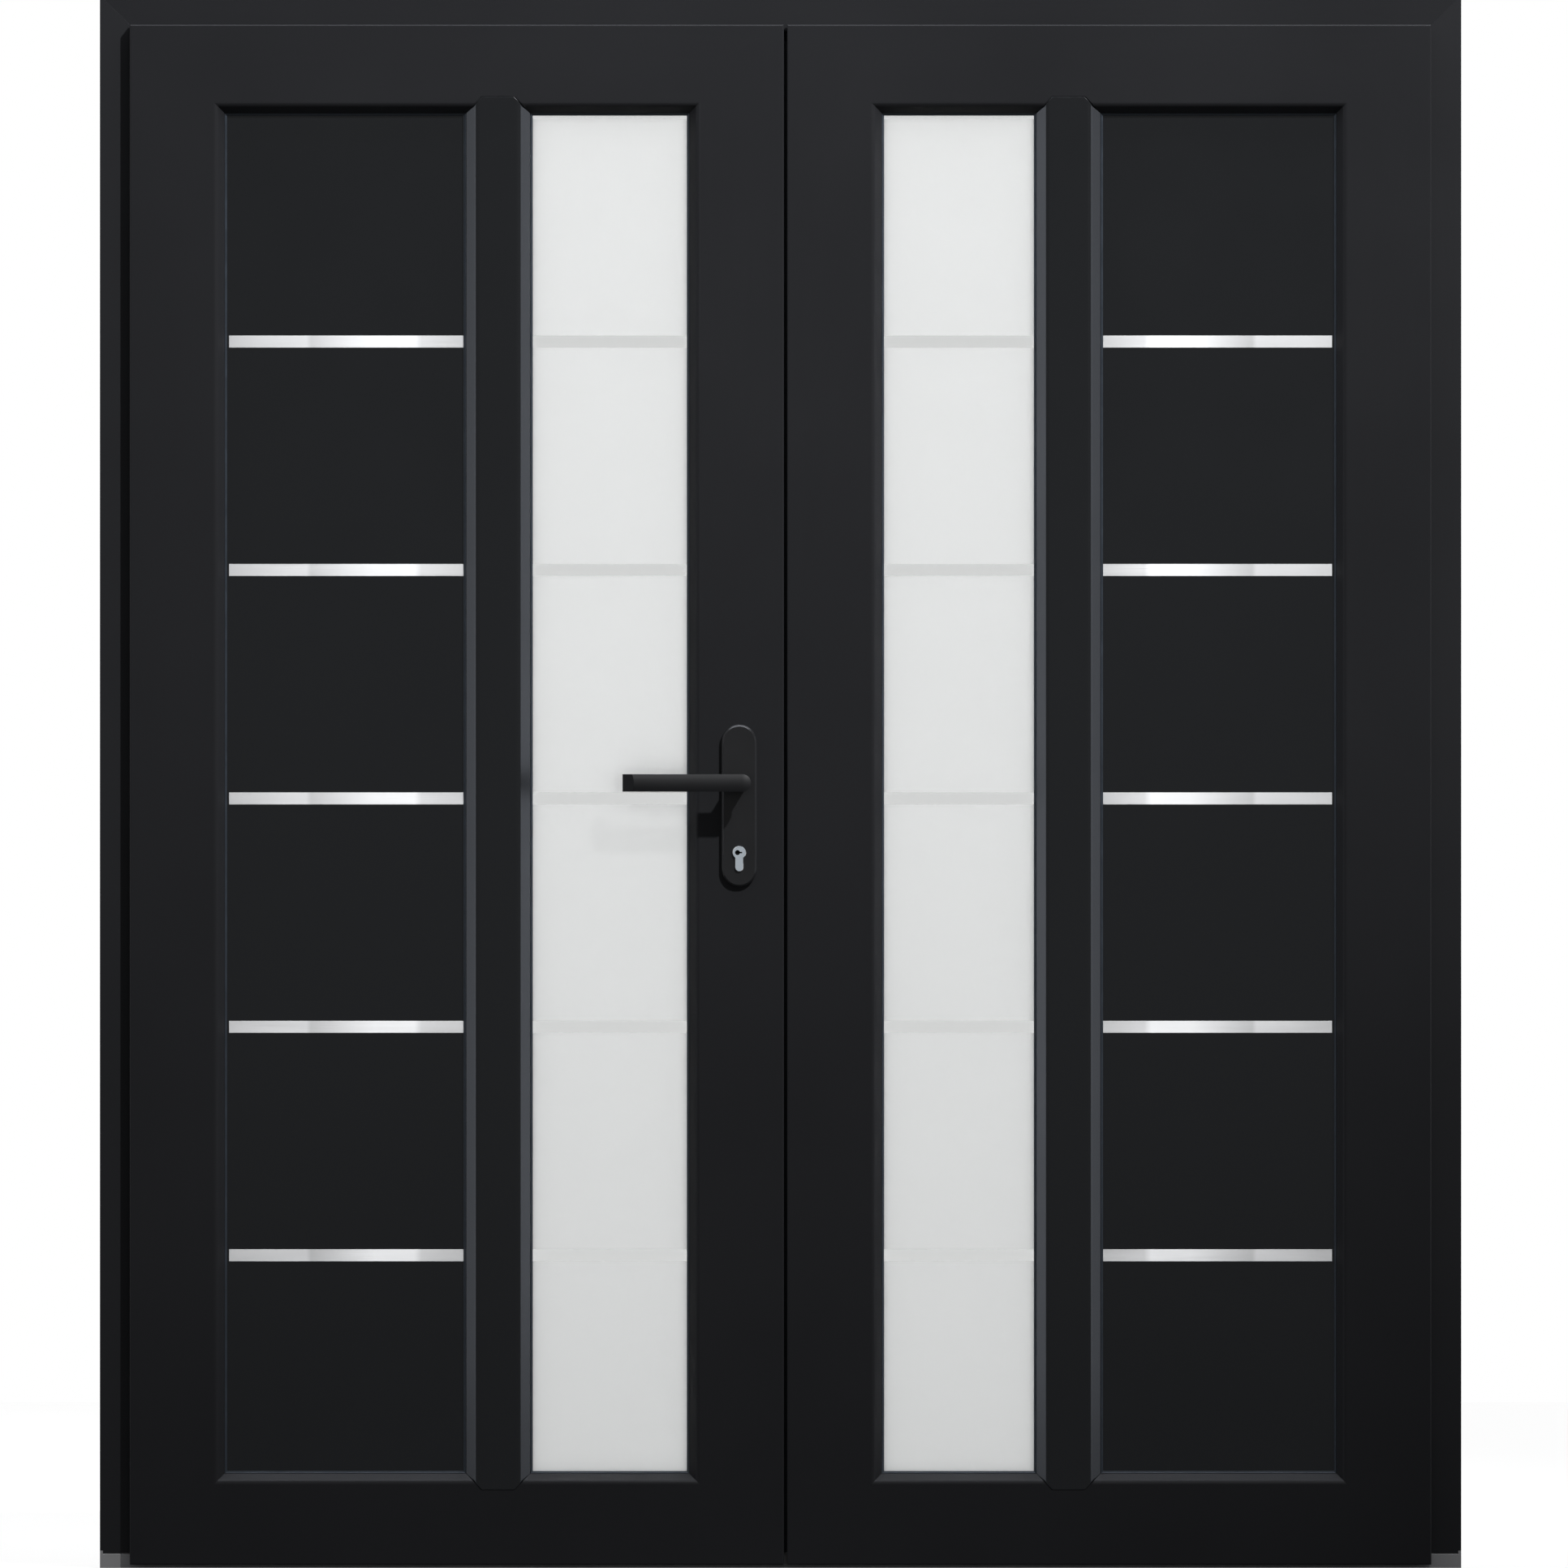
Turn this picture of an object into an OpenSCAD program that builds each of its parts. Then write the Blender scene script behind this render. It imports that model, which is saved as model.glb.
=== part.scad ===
// French doors with their frame: two outward opening leaves of mitred plastic profiles,
// each with a black panel, a mullion and a tall frosted double glazed light.
// The view side is -Y, the floor is z = 0 and the frame's depth is centred on y = 0.

/* [Frame] */
// Outside width of the frame
frame_w = 1800; // [1600:10:2000]
// Outside height of the frame
frame_h = 2080; // [1960:10:2240]
// Depth of jambs, head and threshold
frame_d = 70; // [68:1:80]
// Width of frame face that shows around the leaves
frame_show = 40; // [34:1:50]
// Lap of the leaf's flange over the frame's face
lap = 8; // [7.9:0.1:9]
// Air gap between the frame's rebate and the leaf's body
air_gap = 12; // [11.5:0.5:14]
// Thickness of the stop lip behind the leaves
stop_t = 16; // [12:1:18]
// Height of the threshold
sill_h = 20; // [19:0.5:24]

/* [Leaves] */
// How far the leaves stand proud of the frame's face
proud = 20; // [20:0.5:23]
// Room for the seals between leaf and frame
seal_gap = 4; // [3.5:0.25:5]
// Gap between the two leaves
meet_gap = 4; // [3.5:0.25:5]
// Sideways place of the meeting line
meet_x = 6.5; // [-10:0.5:10]
// Reach of the flange over the meeting edge
meet_over = 4; // [3.5:0.25:5]
// Height of the leaves' lower edge above the floor
leaf_bot = 5; // [4:0.5:8]
// Room between the leaf's body and the threshold
sill_gap = 5; // [4:0.5:7]
// Face width of the stiles
stile_w = 114.5; // [108:0.5:122]
// Face width of the top rail
rail_w = 106; // [100:0.5:116]
// Face width of the bottom rail
bottom_w = 109.5; // [100:0.5:120]
// Width of the sloped edge around the infill
slope_w = 10.6; // [9:0.2:13]
// Depth of the sloped edge
slope_d = 12; // [10:0.5:13]
// Radius of the leaf's outer front edges
edge_r = 2; // [1:0.25:3]
// Radius of the shoulder between face and sloped edge
shoulder_r = 8; // [2:0.5:10]

/* [Infill] */
// Place of the mullion, as a share of the leaf's width from the meeting edge
mullion_share = 0.437; // [0.4:0.001:0.5]
// Flat width of the mullion
mullion_w = 56; // [50:1:64]
// Width of the mullion's sloped edges
mullion_slope = 14.5; // [12:0.5:16]
// Radius of the mullion's shoulders
mullion_r = 10; // [2:0.5:14]
// Reach of the mullion's end over the flat of the rails
tongue = 10.5; // [6:0.5:14]
// Depth of the glazing rebate
rebate = 20; // [18:0.5:22]
// Thickness of panel and double glazing
infill_t = 24; // [22:1:26]
// Thickness of one glass pane
pane_t = 4; // [3:0.5:6]
// Part of the gasket that shows
gasket_show = 3.2; // [2:0.1:4]
// Number of steel strips on a panel, and of clear stripes on the glass
strip_n = 5; // [3:1:6]
// Height of a steel strip
strip_h = 16; // [10:1:24]
// Distance from the light's lower edge to the middle of the lowest strip
strip_low = 288.4; // [240:0.1:320]
// Distance from the light's upper edge to the middle of the highest strip
strip_top = 301.9; // [240:0.1:320]

/* [Hinges] */
// Height of a hinge
hinge_h = 90; // [80:1:110]
// Distance of the end hinges from the leaf's corners
hinge_in = 220; // [180:5:280]
// Radius of the knuckle
knuckle_r = 4.5; // [4.2:0.1:4.6]
// Radius of the pin
pin_r = 2.5; // [2:0.1:2.8]
// Thickness of the hinge plates
plate_t = 3; // [2.5:0.1:3.4]

/* [Lock] */
// Height of the lever's spindle
lever_z = 1038; // [1000:1:1060]
// Distance from spindle to key cylinder
key_drop = 92; // [88:1:95]
// Distance from the lock's faceplate to the spindle
backset = 55; // [50:1:58]
// Width of the backplates
back_w = 46; // [42:1:50]
// Height of the backplates
back_h = 214; // [208:1:224]
// Thickness of the backplates
back_t = 9; // [8:0.5:11]
// Length of the lever from the spindle to its tip
lever_l = 154; // [130:1:170]
// Height of the lever's bar
lever_h = 23; // [20:0.5:26]
// Thickness of the lever's bar
lever_t = 12; // [9:0.5:14]
// Radius of the lever's crowned front
crown_r = 28; // [16:0.5:40]
// Distance from the leaf's face to the front of the lever
stand = 62; // [54:1:70]
// Travel of the latch bolt
latch_out = 13; // [11:0.5:14]
// Travel of the flush bolts
flush_out = 20; // [17:0.5:22]
// Radius of the flush bolts
flush_r = 5; // [4.5:0.1:6]

/* [Fixings] */
// Radius of the fixing holes through the jambs
fix_r = 4; // [3:0.25:5]
// Distance between the two fixing holes of a pair
fix_pitch = 1150; // [1100:10:1200]

/* [Hidden] */
$fn = 64;

// Colours of the pieces
black = [0.15, 0.15, 0.155];
panel_black = [0.12, 0.125, 0.13];
seal_black = [0.06, 0.06, 0.06];
steel = [0.75, 0.76, 0.78];
zinc = [0.6, 0.61, 0.63];
sill_grey = [0.35, 0.35, 0.35];
glass_white = [0.88, 0.9, 0.9, 0.6];

// Small clearances
run_fit = 0.05;
slip_fit = 0.3;
bead_gap = 0.2;
bead_fit = 0.05;
seal_lap = 0.3;
eps = 0.01;

// Depths, from the view side to the back
frame_front = -frame_d / 2;
frame_back = frame_d / 2;
stop_front = frame_back - stop_t;
leaf_front = frame_front - proud;
leaf_back = stop_front - seal_gap;
leaf_mid = (leaf_front + leaf_back) / 2;
flange_back = frame_front - seal_gap;
slope_back = leaf_front + slope_d;
lip_back = slope_back + 3;
infill_front = lip_back + 3;
infill_back = infill_front + infill_t;
bead_front = infill_back + 3;

// Widths and heights of the frame's rebate and of the leaves
rebate_u = frame_show + lap;
stop_u = rebate_u + air_gap + lap;
leaf_x = frame_w / 2 - frame_show;
active_w = leaf_x + meet_x - meet_gap / 2;
passive_w = leaf_x - meet_x - meet_gap / 2;
leaf_top = frame_h - frame_show;
leaf_h = leaf_top - leaf_bot;
over = lap + air_gap;
body_top = leaf_top - over;
body_bot = sill_h + sill_gap;

// Edges of the sloped lips around the infill, from the leaf's hinge edge
stile_lip = stile_w + slope_w;
lip_lo = leaf_bot + bottom_w + slope_w;
lip_hi = leaf_top - rail_w - slope_w;
mullion_lip = mullion_w / 2 + mullion_slope;
tongue_hi = leaf_top - rail_w + tongue;
tongue_lo = leaf_bot + bottom_w - tongue;
cover = rebate - 5;
wall = 3;
lock_zone = 32;
slope_a = atan2(slope_d, slope_w);
mullion_a = atan2(slope_d, mullion_slope);
strip_pitch = (lip_hi - lip_lo - strip_low - strip_top) / (strip_n - 1);

// Hinges: the axis lies inside the leaf's flange, so that the knuckles are hidden from the view side
skin = 3;
axis_u = knuckle_r + 0.3;
axis_y = leaf_front + skin + 1 + knuckle_r;
hinge_zs = [leaf_bot + hinge_in, (leaf_bot + leaf_top) / 2, leaf_top - hinge_in];
knuckle_h = hinge_h / 3;
web_t = 6;
screw_r = 2;

// Lock and handle
key_z = lever_z - key_drop;
back_up = 16;
back_z = (lever_z + key_z) / 2 + back_up;
face_w = 18;
face_t = 3;
case_d = 76;
case_t = 16;
case_under = 30.5;
case_lo = key_z - case_under;
case_over = 47;
case_hi = lever_z + case_over;
bolt_t = 11;
dead_lo = key_z + 17;
dead_hi = dead_lo + 28;
latch_lo = lever_z + 17;
latch_hi = latch_lo + 20;
dead_end = backset - 3;
lever_end_r = lever_h / 2;
neck_r = lever_end_r - slip_fit;
lever_past = 15.6;
lever_turn = 15;
lever_return = 26;
plug_r = 6.5;
cyl_r = 8.5;
cyl_w = 10;
cyl_h = 33;
cyl_proud = 3;
cyl_front = leaf_front - back_t - cyl_proud;
cyl_back = leaf_back + back_t + cyl_proud;
cam_t = 9;
spindle_w = 8;
screw_up = 50;
screw_over = 5;
screw_zs = [key_z + screw_up, case_hi + screw_over];
plate_screw_r = 2.5;
plate_screw_head = 4.5;
strike_t = 5;
strike_lo = dead_lo - 14;
strike_hi = latch_hi + 14;

// Flush bolts in the meeting edge of the passive leaf
flush_in = meet_over + 9.5;
flush_len = 240;
thumb_h = 14;
thumb_in = 40;
thumb_room = 32;
keep_l = 45;
flush_plate_h = 130;
flush_x = leaf_x - passive_w + flush_in;
upper_end = body_top - 1;
lower_end = body_bot + 1;
thumb_at = flush_len - thumb_in;

// Points of an arc around c
function arc(c, r, a0, a1, n) =
    [for (i = [0:n]) c + r * [cos(a0 + (a1 - a0) * i / n), sin(a0 + (a1 - a0) * i / n)]];

// Rounded shoulder at u where the leaf's face turns down by the angle a
function shoulder(u, r, a) =
    arc([u - r * tan(a / 2), leaf_front + r], r, 270, 270 + a, 6);

// Ground plans of the two leaves: the leaf's hinge edge is u = 0
module at_active() {
    translate([-leaf_x, 0, 0])
        children();
}

module at_passive() {
    mirror([1, 0, 0])
        at_active()
            children();
}

// A box given by two corners
module span(a, b) {
    translate(a)
        cube(b - a);
}

// A front outline, run through the whole depth from y0 to y1
module front_prism(points, y0, y1) {
    translate([0, y1, 0])
        rotate([90, 0, 0])
            linear_extrude(height = y1 - y0)
                polygon(points);
}

// A cylinder along +Y from y0 to y1
module rod_y(r, y0, y1) {
    translate([0, y0, 0])
        rotate([-90, 0, 0])
            cylinder(r = r, h = y1 - y0);
}

// A cylinder along +X from x0 to x1
module rod_x(r, x0, x1) {
    translate([x0, 0, 0])
        rotate([0, 90, 0])
            cylinder(r = r, h = x1 - x0);
}

// A rectangular ring seen from the front: outer and inner corners as [u0, z0, u1, z1]
module ring(box, grow, shrink, y0, y1) {
    difference() {
        span([box[0] - grow, y0, box[1] - grow], [box[2] + grow, y1, box[3] + grow]);
        span([box[0] + shrink, y0 - 1, box[1] + shrink], [box[2] - shrink, y1 + 1, box[3] - shrink]);
    }
}

// Lip to lip boxes of the two lights of a leaf
function panel_box(w) = [stile_lip, lip_lo, w - w * mullion_share - mullion_lip, lip_hi];
function glass_box(w) = [w - w * mullion_share + mullion_lip, lip_lo, w - stile_lip, lip_hi];
function boxes(w) = [panel_box(w), glass_box(w)];

// Frame profile: v runs from the outer edge inwards, y is the depth
module frame_section() {
    difference() {
        polygon(concat(
            [[0, frame_back], [0, frame_front]],
            [[rebate_u - 1, frame_front], [rebate_u, frame_front + 1], [rebate_u, stop_front]],
            [[stop_u - 1, stop_front], [stop_u, stop_front + 1], [stop_u - 4, frame_back]]
        ));
        translate([wall, frame_front + wall])
            square([rebate_u - 2 * wall, 15 - 1.5 * wall]);
        translate([wall, frame_front + 15 + wall / 2])
            square([rebate_u - 2 * wall, stop_front - frame_front - 15 - wall / 2]);
        translate([wall, stop_front + wall])
            square([stop_u - 4 - 2 * wall, stop_t - 2 * wall]);
    }
}

// Leaf profile of face width a, whose body starts o behind the flange's edge
module leaf_section(a, o, chamber) {
    base = a + slope_w - rebate;
    difference() {
        polygon(concat(
            arc([edge_r, leaf_front + edge_r], edge_r, 180, 270, 4),
            shoulder(a, shoulder_r, slope_a),
            [[a + slope_w, slope_back], [a + slope_w, lip_back]],
            [[base, lip_back], [base, leaf_back], [o, leaf_back], [o, flange_back], [0, flange_back]]
        ));
        translate([over + wall, leaf_front + wall])
            square([base - over - 2 * wall - 10, flange_back - leaf_front - 2 * wall]);
        translate([chamber, flange_back + wall])
            square([base - chamber - wall, leaf_back - flange_back - 2 * wall]);
    }
}

// A pair of boxes that trims the leaf's body above and below
module body_trim(w) {
    span([-1, flange_back, body_top], [w + 1, leaf_back + 1, leaf_top + 1]);
    span([-1, flange_back, leaf_bot - 1], [w + 1, leaf_back + 1, body_bot]);
}

// Front outline of the hinge stile: it is mitred from corner to corner
function stile_outline() = [
    [0, leaf_bot], [stile_w, leaf_bot + bottom_w], [stile_lip, lip_lo],
    [stile_lip, lip_hi], [stile_w, leaf_top - rail_w], [0, leaf_top]
];

// Front outline of the top or bottom rail
function rail_outline(w, z, b, dir) = [
    [0, z], [stile_w, z + dir * b], [stile_lip, z + dir * (b + slope_w)],
    [w - stile_lip, z + dir * (b + slope_w)], [w - stile_w, z + dir * b], [w, z]
];

// Front outline of the mullion, grown by g: its ends are cut at 45 degrees and reach over the rails
function mullion_outline(g) = [
    [-mullion_lip - g, lip_lo], [-mullion_lip - g, lip_hi],
    [-mullion_lip - g + tongue_hi - lip_hi, tongue_hi + g],
    [mullion_lip + g - tongue_hi + lip_hi, tongue_hi + g],
    [mullion_lip + g, lip_hi], [mullion_lip + g, lip_lo],
    [mullion_lip + g - lip_lo + tongue_lo, tongue_lo - g],
    [-mullion_lip - g + lip_lo - tongue_lo, tongue_lo - g]
];

// Housing in the rails for the mullion's ends, with a fine groove around them at the face
module mullion_housing(w) {
    translate([w - w * mullion_share, 0, 0]) {
        front_prism(mullion_outline(0), leaf_front - 1, lip_back);
        front_prism(mullion_outline(0.8), leaf_front - 1, leaf_front + 1.2);
    }
}

module hinge_stile(w) {
    difference() {
        intersection() {
            translate([0, 0, leaf_bot])
                linear_extrude(height = leaf_h)
                    leaf_section(stile_w, over, over + 12);
            front_prism(stile_outline(), leaf_front - 1, leaf_back + 1);
        }
        body_trim(w);
        for (z = hinge_zs) {
            span(
                [-1, leaf_front + skin, z - hinge_h / 2 - 2],
                [over, flange_back + eps, z + hinge_h / 2 + 2]
            );
            for (s = [-1, 1])
                translate([0, -15, z + s * hinge_h / 3])
                    rod_x(screw_r, over - 1, over + 24);
        }
    }
}

// The meeting stile is the hinge stile's mirror image, with a shorter flange
module meeting_stile(w) {
    difference() {
        translate([w, 0, 0])
            mirror([1, 0, 0])
                intersection() {
                    translate([0, 0, leaf_bot])
                        linear_extrude(height = leaf_h)
                            leaf_section(stile_w, meet_over, meet_over + lock_zone);
                    front_prism(stile_outline(), leaf_front - 1, leaf_back + 1);
                }
        body_trim(w);
    }
}

module top_rail(w) {
    difference() {
        intersection() {
            translate([0, 0, leaf_top])
                rotate([0, 90, 0])
                    linear_extrude(height = w)
                        leaf_section(rail_w, over, over + 12);
            front_prism(rail_outline(w, leaf_top, rail_w, -1), leaf_front - 1, leaf_back + 1);
        }
        mullion_housing(w);
    }
}

module bottom_rail(w) {
    difference() {
        intersection() {
            translate([w, 0, leaf_bot])
                rotate([0, -90, 0])
                    linear_extrude(height = w)
                        leaf_section(bottom_w, body_bot - leaf_bot, over + 12);
            front_prism(rail_outline(w, leaf_bot, bottom_w, 1), leaf_front - 1, leaf_back + 1);
        }
        mullion_housing(w);
    }
}

// Mullion: a sloped face whose ends lie in the rails, on a web between the glazing rebates
module mullion(w) {
    web = mullion_lip - rebate;
    translate([w - w * mullion_share, 0, 0]) {
        intersection() {
            translate([0, 0, tongue_lo])
                linear_extrude(height = tongue_hi - tongue_lo)
                    polygon(concat(
                        [for (p = shoulder(mullion_w / 2, mullion_r, mullion_a)) [-p[0], p[1]]],
                        [[-mullion_lip, slope_back], [-mullion_lip, lip_back]],
                        [[mullion_lip, lip_back], [mullion_lip, slope_back]],
                        [for (i = [6:-1:0]) shoulder(mullion_w / 2, mullion_r, mullion_a)[i]]
                    ));
            front_prism(mullion_outline(0), leaf_front - 1, lip_back + 1);
        }
        difference() {
            span([-web, lip_back, lip_lo - rebate], [web, leaf_back, lip_hi + rebate]);
            span(
                [-web + wall, lip_back + wall, lip_lo - rebate - 1],
                [web - wall, leaf_back - wall, lip_hi + rebate + 1]
            );
        }
    }
}

module panel(w) {
    b = panel_box(w);
    span([b[0] - cover, infill_front, b[1] - cover], [b[2] + cover, infill_back, b[3] + cover]);
}

// Steel strips laid on the panel between the gaskets
module panel_strips(w) {
    b = panel_box(w);
    for (i = [0:strip_n - 1])
        translate([0, 0, lip_lo + strip_low + i * strip_pitch - strip_h / 2])
            span(
                [b[0] + gasket_show + 2.5, infill_front - 1, 0],
                [b[2] - gasket_show, infill_front, strip_h]
            );
}

module pane(w, y0) {
    b = glass_box(w);
    span([b[0] - cover, y0, b[1] - cover], [b[2] + cover, y0 + pane_t, b[3] + cover]);
}

module glass_spacer(w) {
    ring(glass_box(w), cover - 1, -2, infill_front + pane_t, infill_back - pane_t);
}

module glazing_gaskets(w) {
    for (b = boxes(w)) {
        ring(b, 8, gasket_show, lip_back, infill_front);
        ring(b, 0, 1.4, lip_back - 2, lip_back + eps);
        ring(b, 8, 2, infill_back, bead_front);
    }
}

// Glazing bead: v runs from the rebate's base towards the glass
module bead_section() {
    polygon([
        [bead_fit, bead_front], [rebate, bead_front], [rebate, bead_front + 5],
        [rebate - 8, leaf_back - 0.5], [rebate - 9, leaf_back], [bead_fit, leaf_back]
    ]);
}

module bead_upright(b, h) {
    intersection() {
        translate([b[0] - rebate, 0, b[1] - rebate])
            linear_extrude(height = h)
                bead_section();
        front_prism([
            [b[0] - rebate, b[1] - rebate], [b[0], b[1]],
            [b[0], b[3]], [b[0] - rebate, b[3] + rebate]
        ], bead_front - 1, leaf_back + 1);
    }
}

module bead_level(b, l) {
    intersection() {
        translate([b[0] - rebate + l, 0, b[1] - rebate])
            rotate([0, -90, 0])
                linear_extrude(height = l)
                    bead_section();
        front_prism([
            [b[0] - rebate + bead_gap, b[1] - rebate], [b[2] + rebate - bead_gap, b[1] - rebate],
            [b[2] - bead_gap, b[1]], [b[0] + bead_gap, b[1]]
        ], bead_front - 1, leaf_back + 1);
    }
}

module glazing_beads(w) {
    for (b = boxes(w)) {
        l = b[2] - b[0] + 2 * rebate;
        h = b[3] - b[1] + 2 * rebate;
        bead_upright(b, h);
        translate([b[0] + b[2], 0, 0])
            mirror([1, 0, 0])
                bead_upright(b, h);
        bead_level(b, l);
        translate([0, 0, b[1] + b[3]])
            mirror([0, 0, 1])
                bead_level(b, l);
    }
}

// Seal behind the flange on three sides, left out at the hinges, and a blade below the bottom rail
module leaf_seal(w) {
    seal_in = axis_u + 0.3;
    seal_w = lap - seal_in - 0.2;
    end = w - over - 2;
    difference() {
        span(
            [seal_in, flange_back, leaf_bot + 6],
            [seal_in + seal_w, frame_front - slip_fit, leaf_top - seal_in]
        );
        for (z = hinge_zs)
            span([0, flange_back - 1, z - hinge_h / 2 - 4], [over, frame_front, z + hinge_h / 2 + 4]);
    }
    span(
        [seal_in, flange_back, leaf_top - seal_in - seal_w],
        [end, frame_front - slip_fit, leaf_top - seal_in]
    );
    span([seal_in, flange_back, leaf_bot + 6], [end, frame_front - slip_fit, leaf_bot + 6 + seal_w]);
    span([over + 4, leaf_back - 9, sill_h + 0.4], [w - over - 4, leaf_back - 6, body_bot]);
}

// Two soft strips on the meeting edge; a thin fin at fin_y on the front one laps that of the other leaf
module meeting_seal(w, fin_y) {
    room = meet_gap / 2 + meet_over;
    edge = w - meet_over;
    bottom = sill_h + 0.4;
    top = body_top - 1;
    span([edge, flange_back + 0.5, bottom], [edge + room - 0.8, flange_back + 7.5, top]);
    span([edge, flange_back + fin_y, bottom], [edge + room + seal_lap, flange_back + fin_y + 2, top]);
    span([edge, leaf_back - 8, body_bot + 1], [edge + room / 2, leaf_back - 1, top]);
}

// Hinge half: knuckles on a web, and a plate along the rebate; u0 is the plate's near face
module hinge_half(u0, deep, knuckles, screws) {
    difference() {
        union() {
            for (k = knuckles)
                translate([0, 0, k * knuckle_h - knuckle_h / 2 + slip_fit / 2]) {
                    translate([axis_u, axis_y, 0])
                        cylinder(r = knuckle_r, h = knuckle_h - slip_fit);
                    span(
                        [axis_u, axis_y - web_t / 2, 0],
                        [u0 + plate_t, axis_y + web_t / 2, knuckle_h - slip_fit]
                    );
                    span(
                        [u0, axis_y - web_t / 2, 0],
                        [u0 + plate_t, frame_front + 4, knuckle_h - slip_fit]
                    );
                }
            span([u0, frame_front + 2, -hinge_h / 2], [u0 + plate_t, deep, hinge_h / 2]);
        }
        translate([axis_u, axis_y, -hinge_h])
            cylinder(r = pin_r + run_fit, h = 2 * hinge_h);
        for (s = [-1, 1])
            translate([0, -15, s * hinge_h / 3])
                rod_x(screw_r, u0 - 1, u0 + plate_t + 1);
        for (s = [-1, 1])
            translate([screws == 1 ? u0 : u0 + plate_t, -15, s * hinge_h / 3])
                rotate([0, screws == 1 ? 90 : -90, 0])
                    cylinder(r1 = 2 * screw_r, r2 = screw_r, h = 2);
    }
}

// Countersunk screw whose head lies in the plate's face at u, driven along dir
module hinge_screw(u, dir) {
    translate([u, -15, 0])
        rotate([0, dir * 90, 0]) {
            cylinder(r1 = 2 * screw_r, r2 = screw_r, h = 2);
            translate([0, 0, 2 - eps])
                cylinder(r = screw_r, h = 22);
        }
}

module hinge_plates() {
    for (z = hinge_zs)
        translate([0, 0, z])
            hinge_half(over - plate_t, 5, [0], 1);
}

module leaf_hinge_screws() {
    for (z = hinge_zs)
        for (s = [-1, 1])
            translate([0, 0, z + s * hinge_h / 3])
                hinge_screw(over - plate_t, 1);
}

module left_frame_hinges() {
    for (z = hinge_zs)
        translate([0, 0, z])
            hinge_half(lap, 5, [-1, 1], -1);
}

module left_frame_screws() {
    for (z = hinge_zs)
        for (s = [-1, 1])
            translate([0, 0, z + s * hinge_h / 3])
                hinge_screw(lap + plate_t, -1);
}

module left_pins() {
    for (z = hinge_zs)
        translate([axis_u, axis_y, z - hinge_h / 2])
            cylinder(r = pin_r, h = hinge_h);
}

// Left jamb: mitred to the head, square on the threshold
module jamb() {
    fix_mid = frame_h / 2 - 15;
    translate([-frame_w / 2, 0, 0])
        difference() {
            intersection() {
                translate([0, 0, sill_h])
                    linear_extrude(height = frame_h - sill_h)
                        frame_section();
                front_prism([
                    [0, sill_h], [stop_u, sill_h], [stop_u, frame_h - stop_u], [0, frame_h]
                ], frame_front - 1, frame_back + 1);
            }
            span([-1, frame_front - 1, sill_h - 1], [4.3, frame_back + 1, sill_h + 3.2]);
            for (s = [-1, 1])
                translate([0, -8, fix_mid + s * fix_pitch / 2])
                    rod_x(fix_r, -1, rebate_u + 1);
            for (z = hinge_zs)
                for (s = [-1, 1])
                    translate([0, -15, z + s * hinge_h / 3])
                        rod_x(screw_r, rebate_u - 22 + plate_t, rebate_u + 1);
        }
}

module left_jamb() {
    color(black)
        jamb();
}

module right_jamb() {
    color(black)
        mirror([1, 0, 0])
            jamb();
}

module head() {
    color(black)
        difference() {
            intersection() {
                translate([-frame_w / 2, 0, frame_h])
                    rotate([0, 90, 0])
                        linear_extrude(height = frame_w)
                            frame_section();
                front_prism([
                    [-frame_w / 2, frame_h], [frame_w / 2, frame_h],
                    [frame_w / 2 - stop_u, frame_h - stop_u], [-frame_w / 2 + stop_u, frame_h - stop_u]
                ], frame_front - 1, frame_back + 1);
            }
            translate([flush_x, leaf_mid, frame_h - rebate_u - 1])
                cylinder(r = flush_r + 0.5, h = 20);
        }
}

// Threshold: a low hollow extrusion under the jambs, ribbed on top, with raised ends
module threshold() {
    color(sill_grey)
        difference() {
            union() {
                translate([-frame_w / 2, 0, 0])
                    rotate([90, 0, 90])
                        linear_extrude(height = frame_w)
                            difference() {
                                polygon([
                                    [frame_front, 0], [frame_back, 0], [frame_back, sill_h],
                                    [frame_front + 2, sill_h], [frame_front, sill_h - 2]
                                ]);
                                for (i = [0:3])
                                    translate([frame_front + 10 + 5 * i, sill_h - 1])
                                        square([2, 2]);
                                translate([frame_front + wall, 2.5])
                                    square([frame_d / 2 - 1.5 * wall, sill_h - 6]);
                                translate([wall / 2, 2.5])
                                    square([frame_d / 2 - 1.5 * wall, sill_h - 6]);
                            }
                for (s = [-1, 1])
                    translate([s * (frame_w / 2 - 2), 0, (sill_h + 3) / 2])
                        cube([4, frame_d, sill_h + 3], center = true);
            }
            translate([flush_x, leaf_mid, 2.5])
                cylinder(r = flush_r + 0.5, h = sill_h);
        }
}

// Stop seal on the lip behind the leaves
module frame_seal() {
    inner = stop_u - 1.5;
    outer = inner - 5;
    x0 = frame_w / 2;
    color(seal_black)
        front_prism([
            [-x0 + outer, sill_h + 0.2], [-x0 + inner, sill_h + 0.2],
            [-x0 + inner, frame_h - inner], [x0 - inner, frame_h - inner],
            [x0 - inner, sill_h + 0.2], [x0 - outer, sill_h + 0.2],
            [x0 - outer, frame_h - outer], [-x0 + outer, frame_h - outer]
        ], leaf_back + slip_fit, stop_front);
}

module head_keep() {
    z1 = frame_h - rebate_u;
    color(zinc)
        difference() {
            span([flush_x - flush_r - 5, leaf_mid - 10, z1 - 3], [flush_x + keep_l, leaf_mid + 10, z1]);
            translate([flush_x, leaf_mid, z1 - 5])
                cylinder(r = flush_r + 0.5, h = 10);
        }
}

module hinge_frame_plates() {
    color(zinc) {
        at_active()
            left_frame_hinges();
        at_passive()
            left_frame_hinges();
    }
}

module hinge_pins() {
    color(steel) {
        at_active()
            left_pins();
        at_passive()
            left_pins();
    }
}

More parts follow.
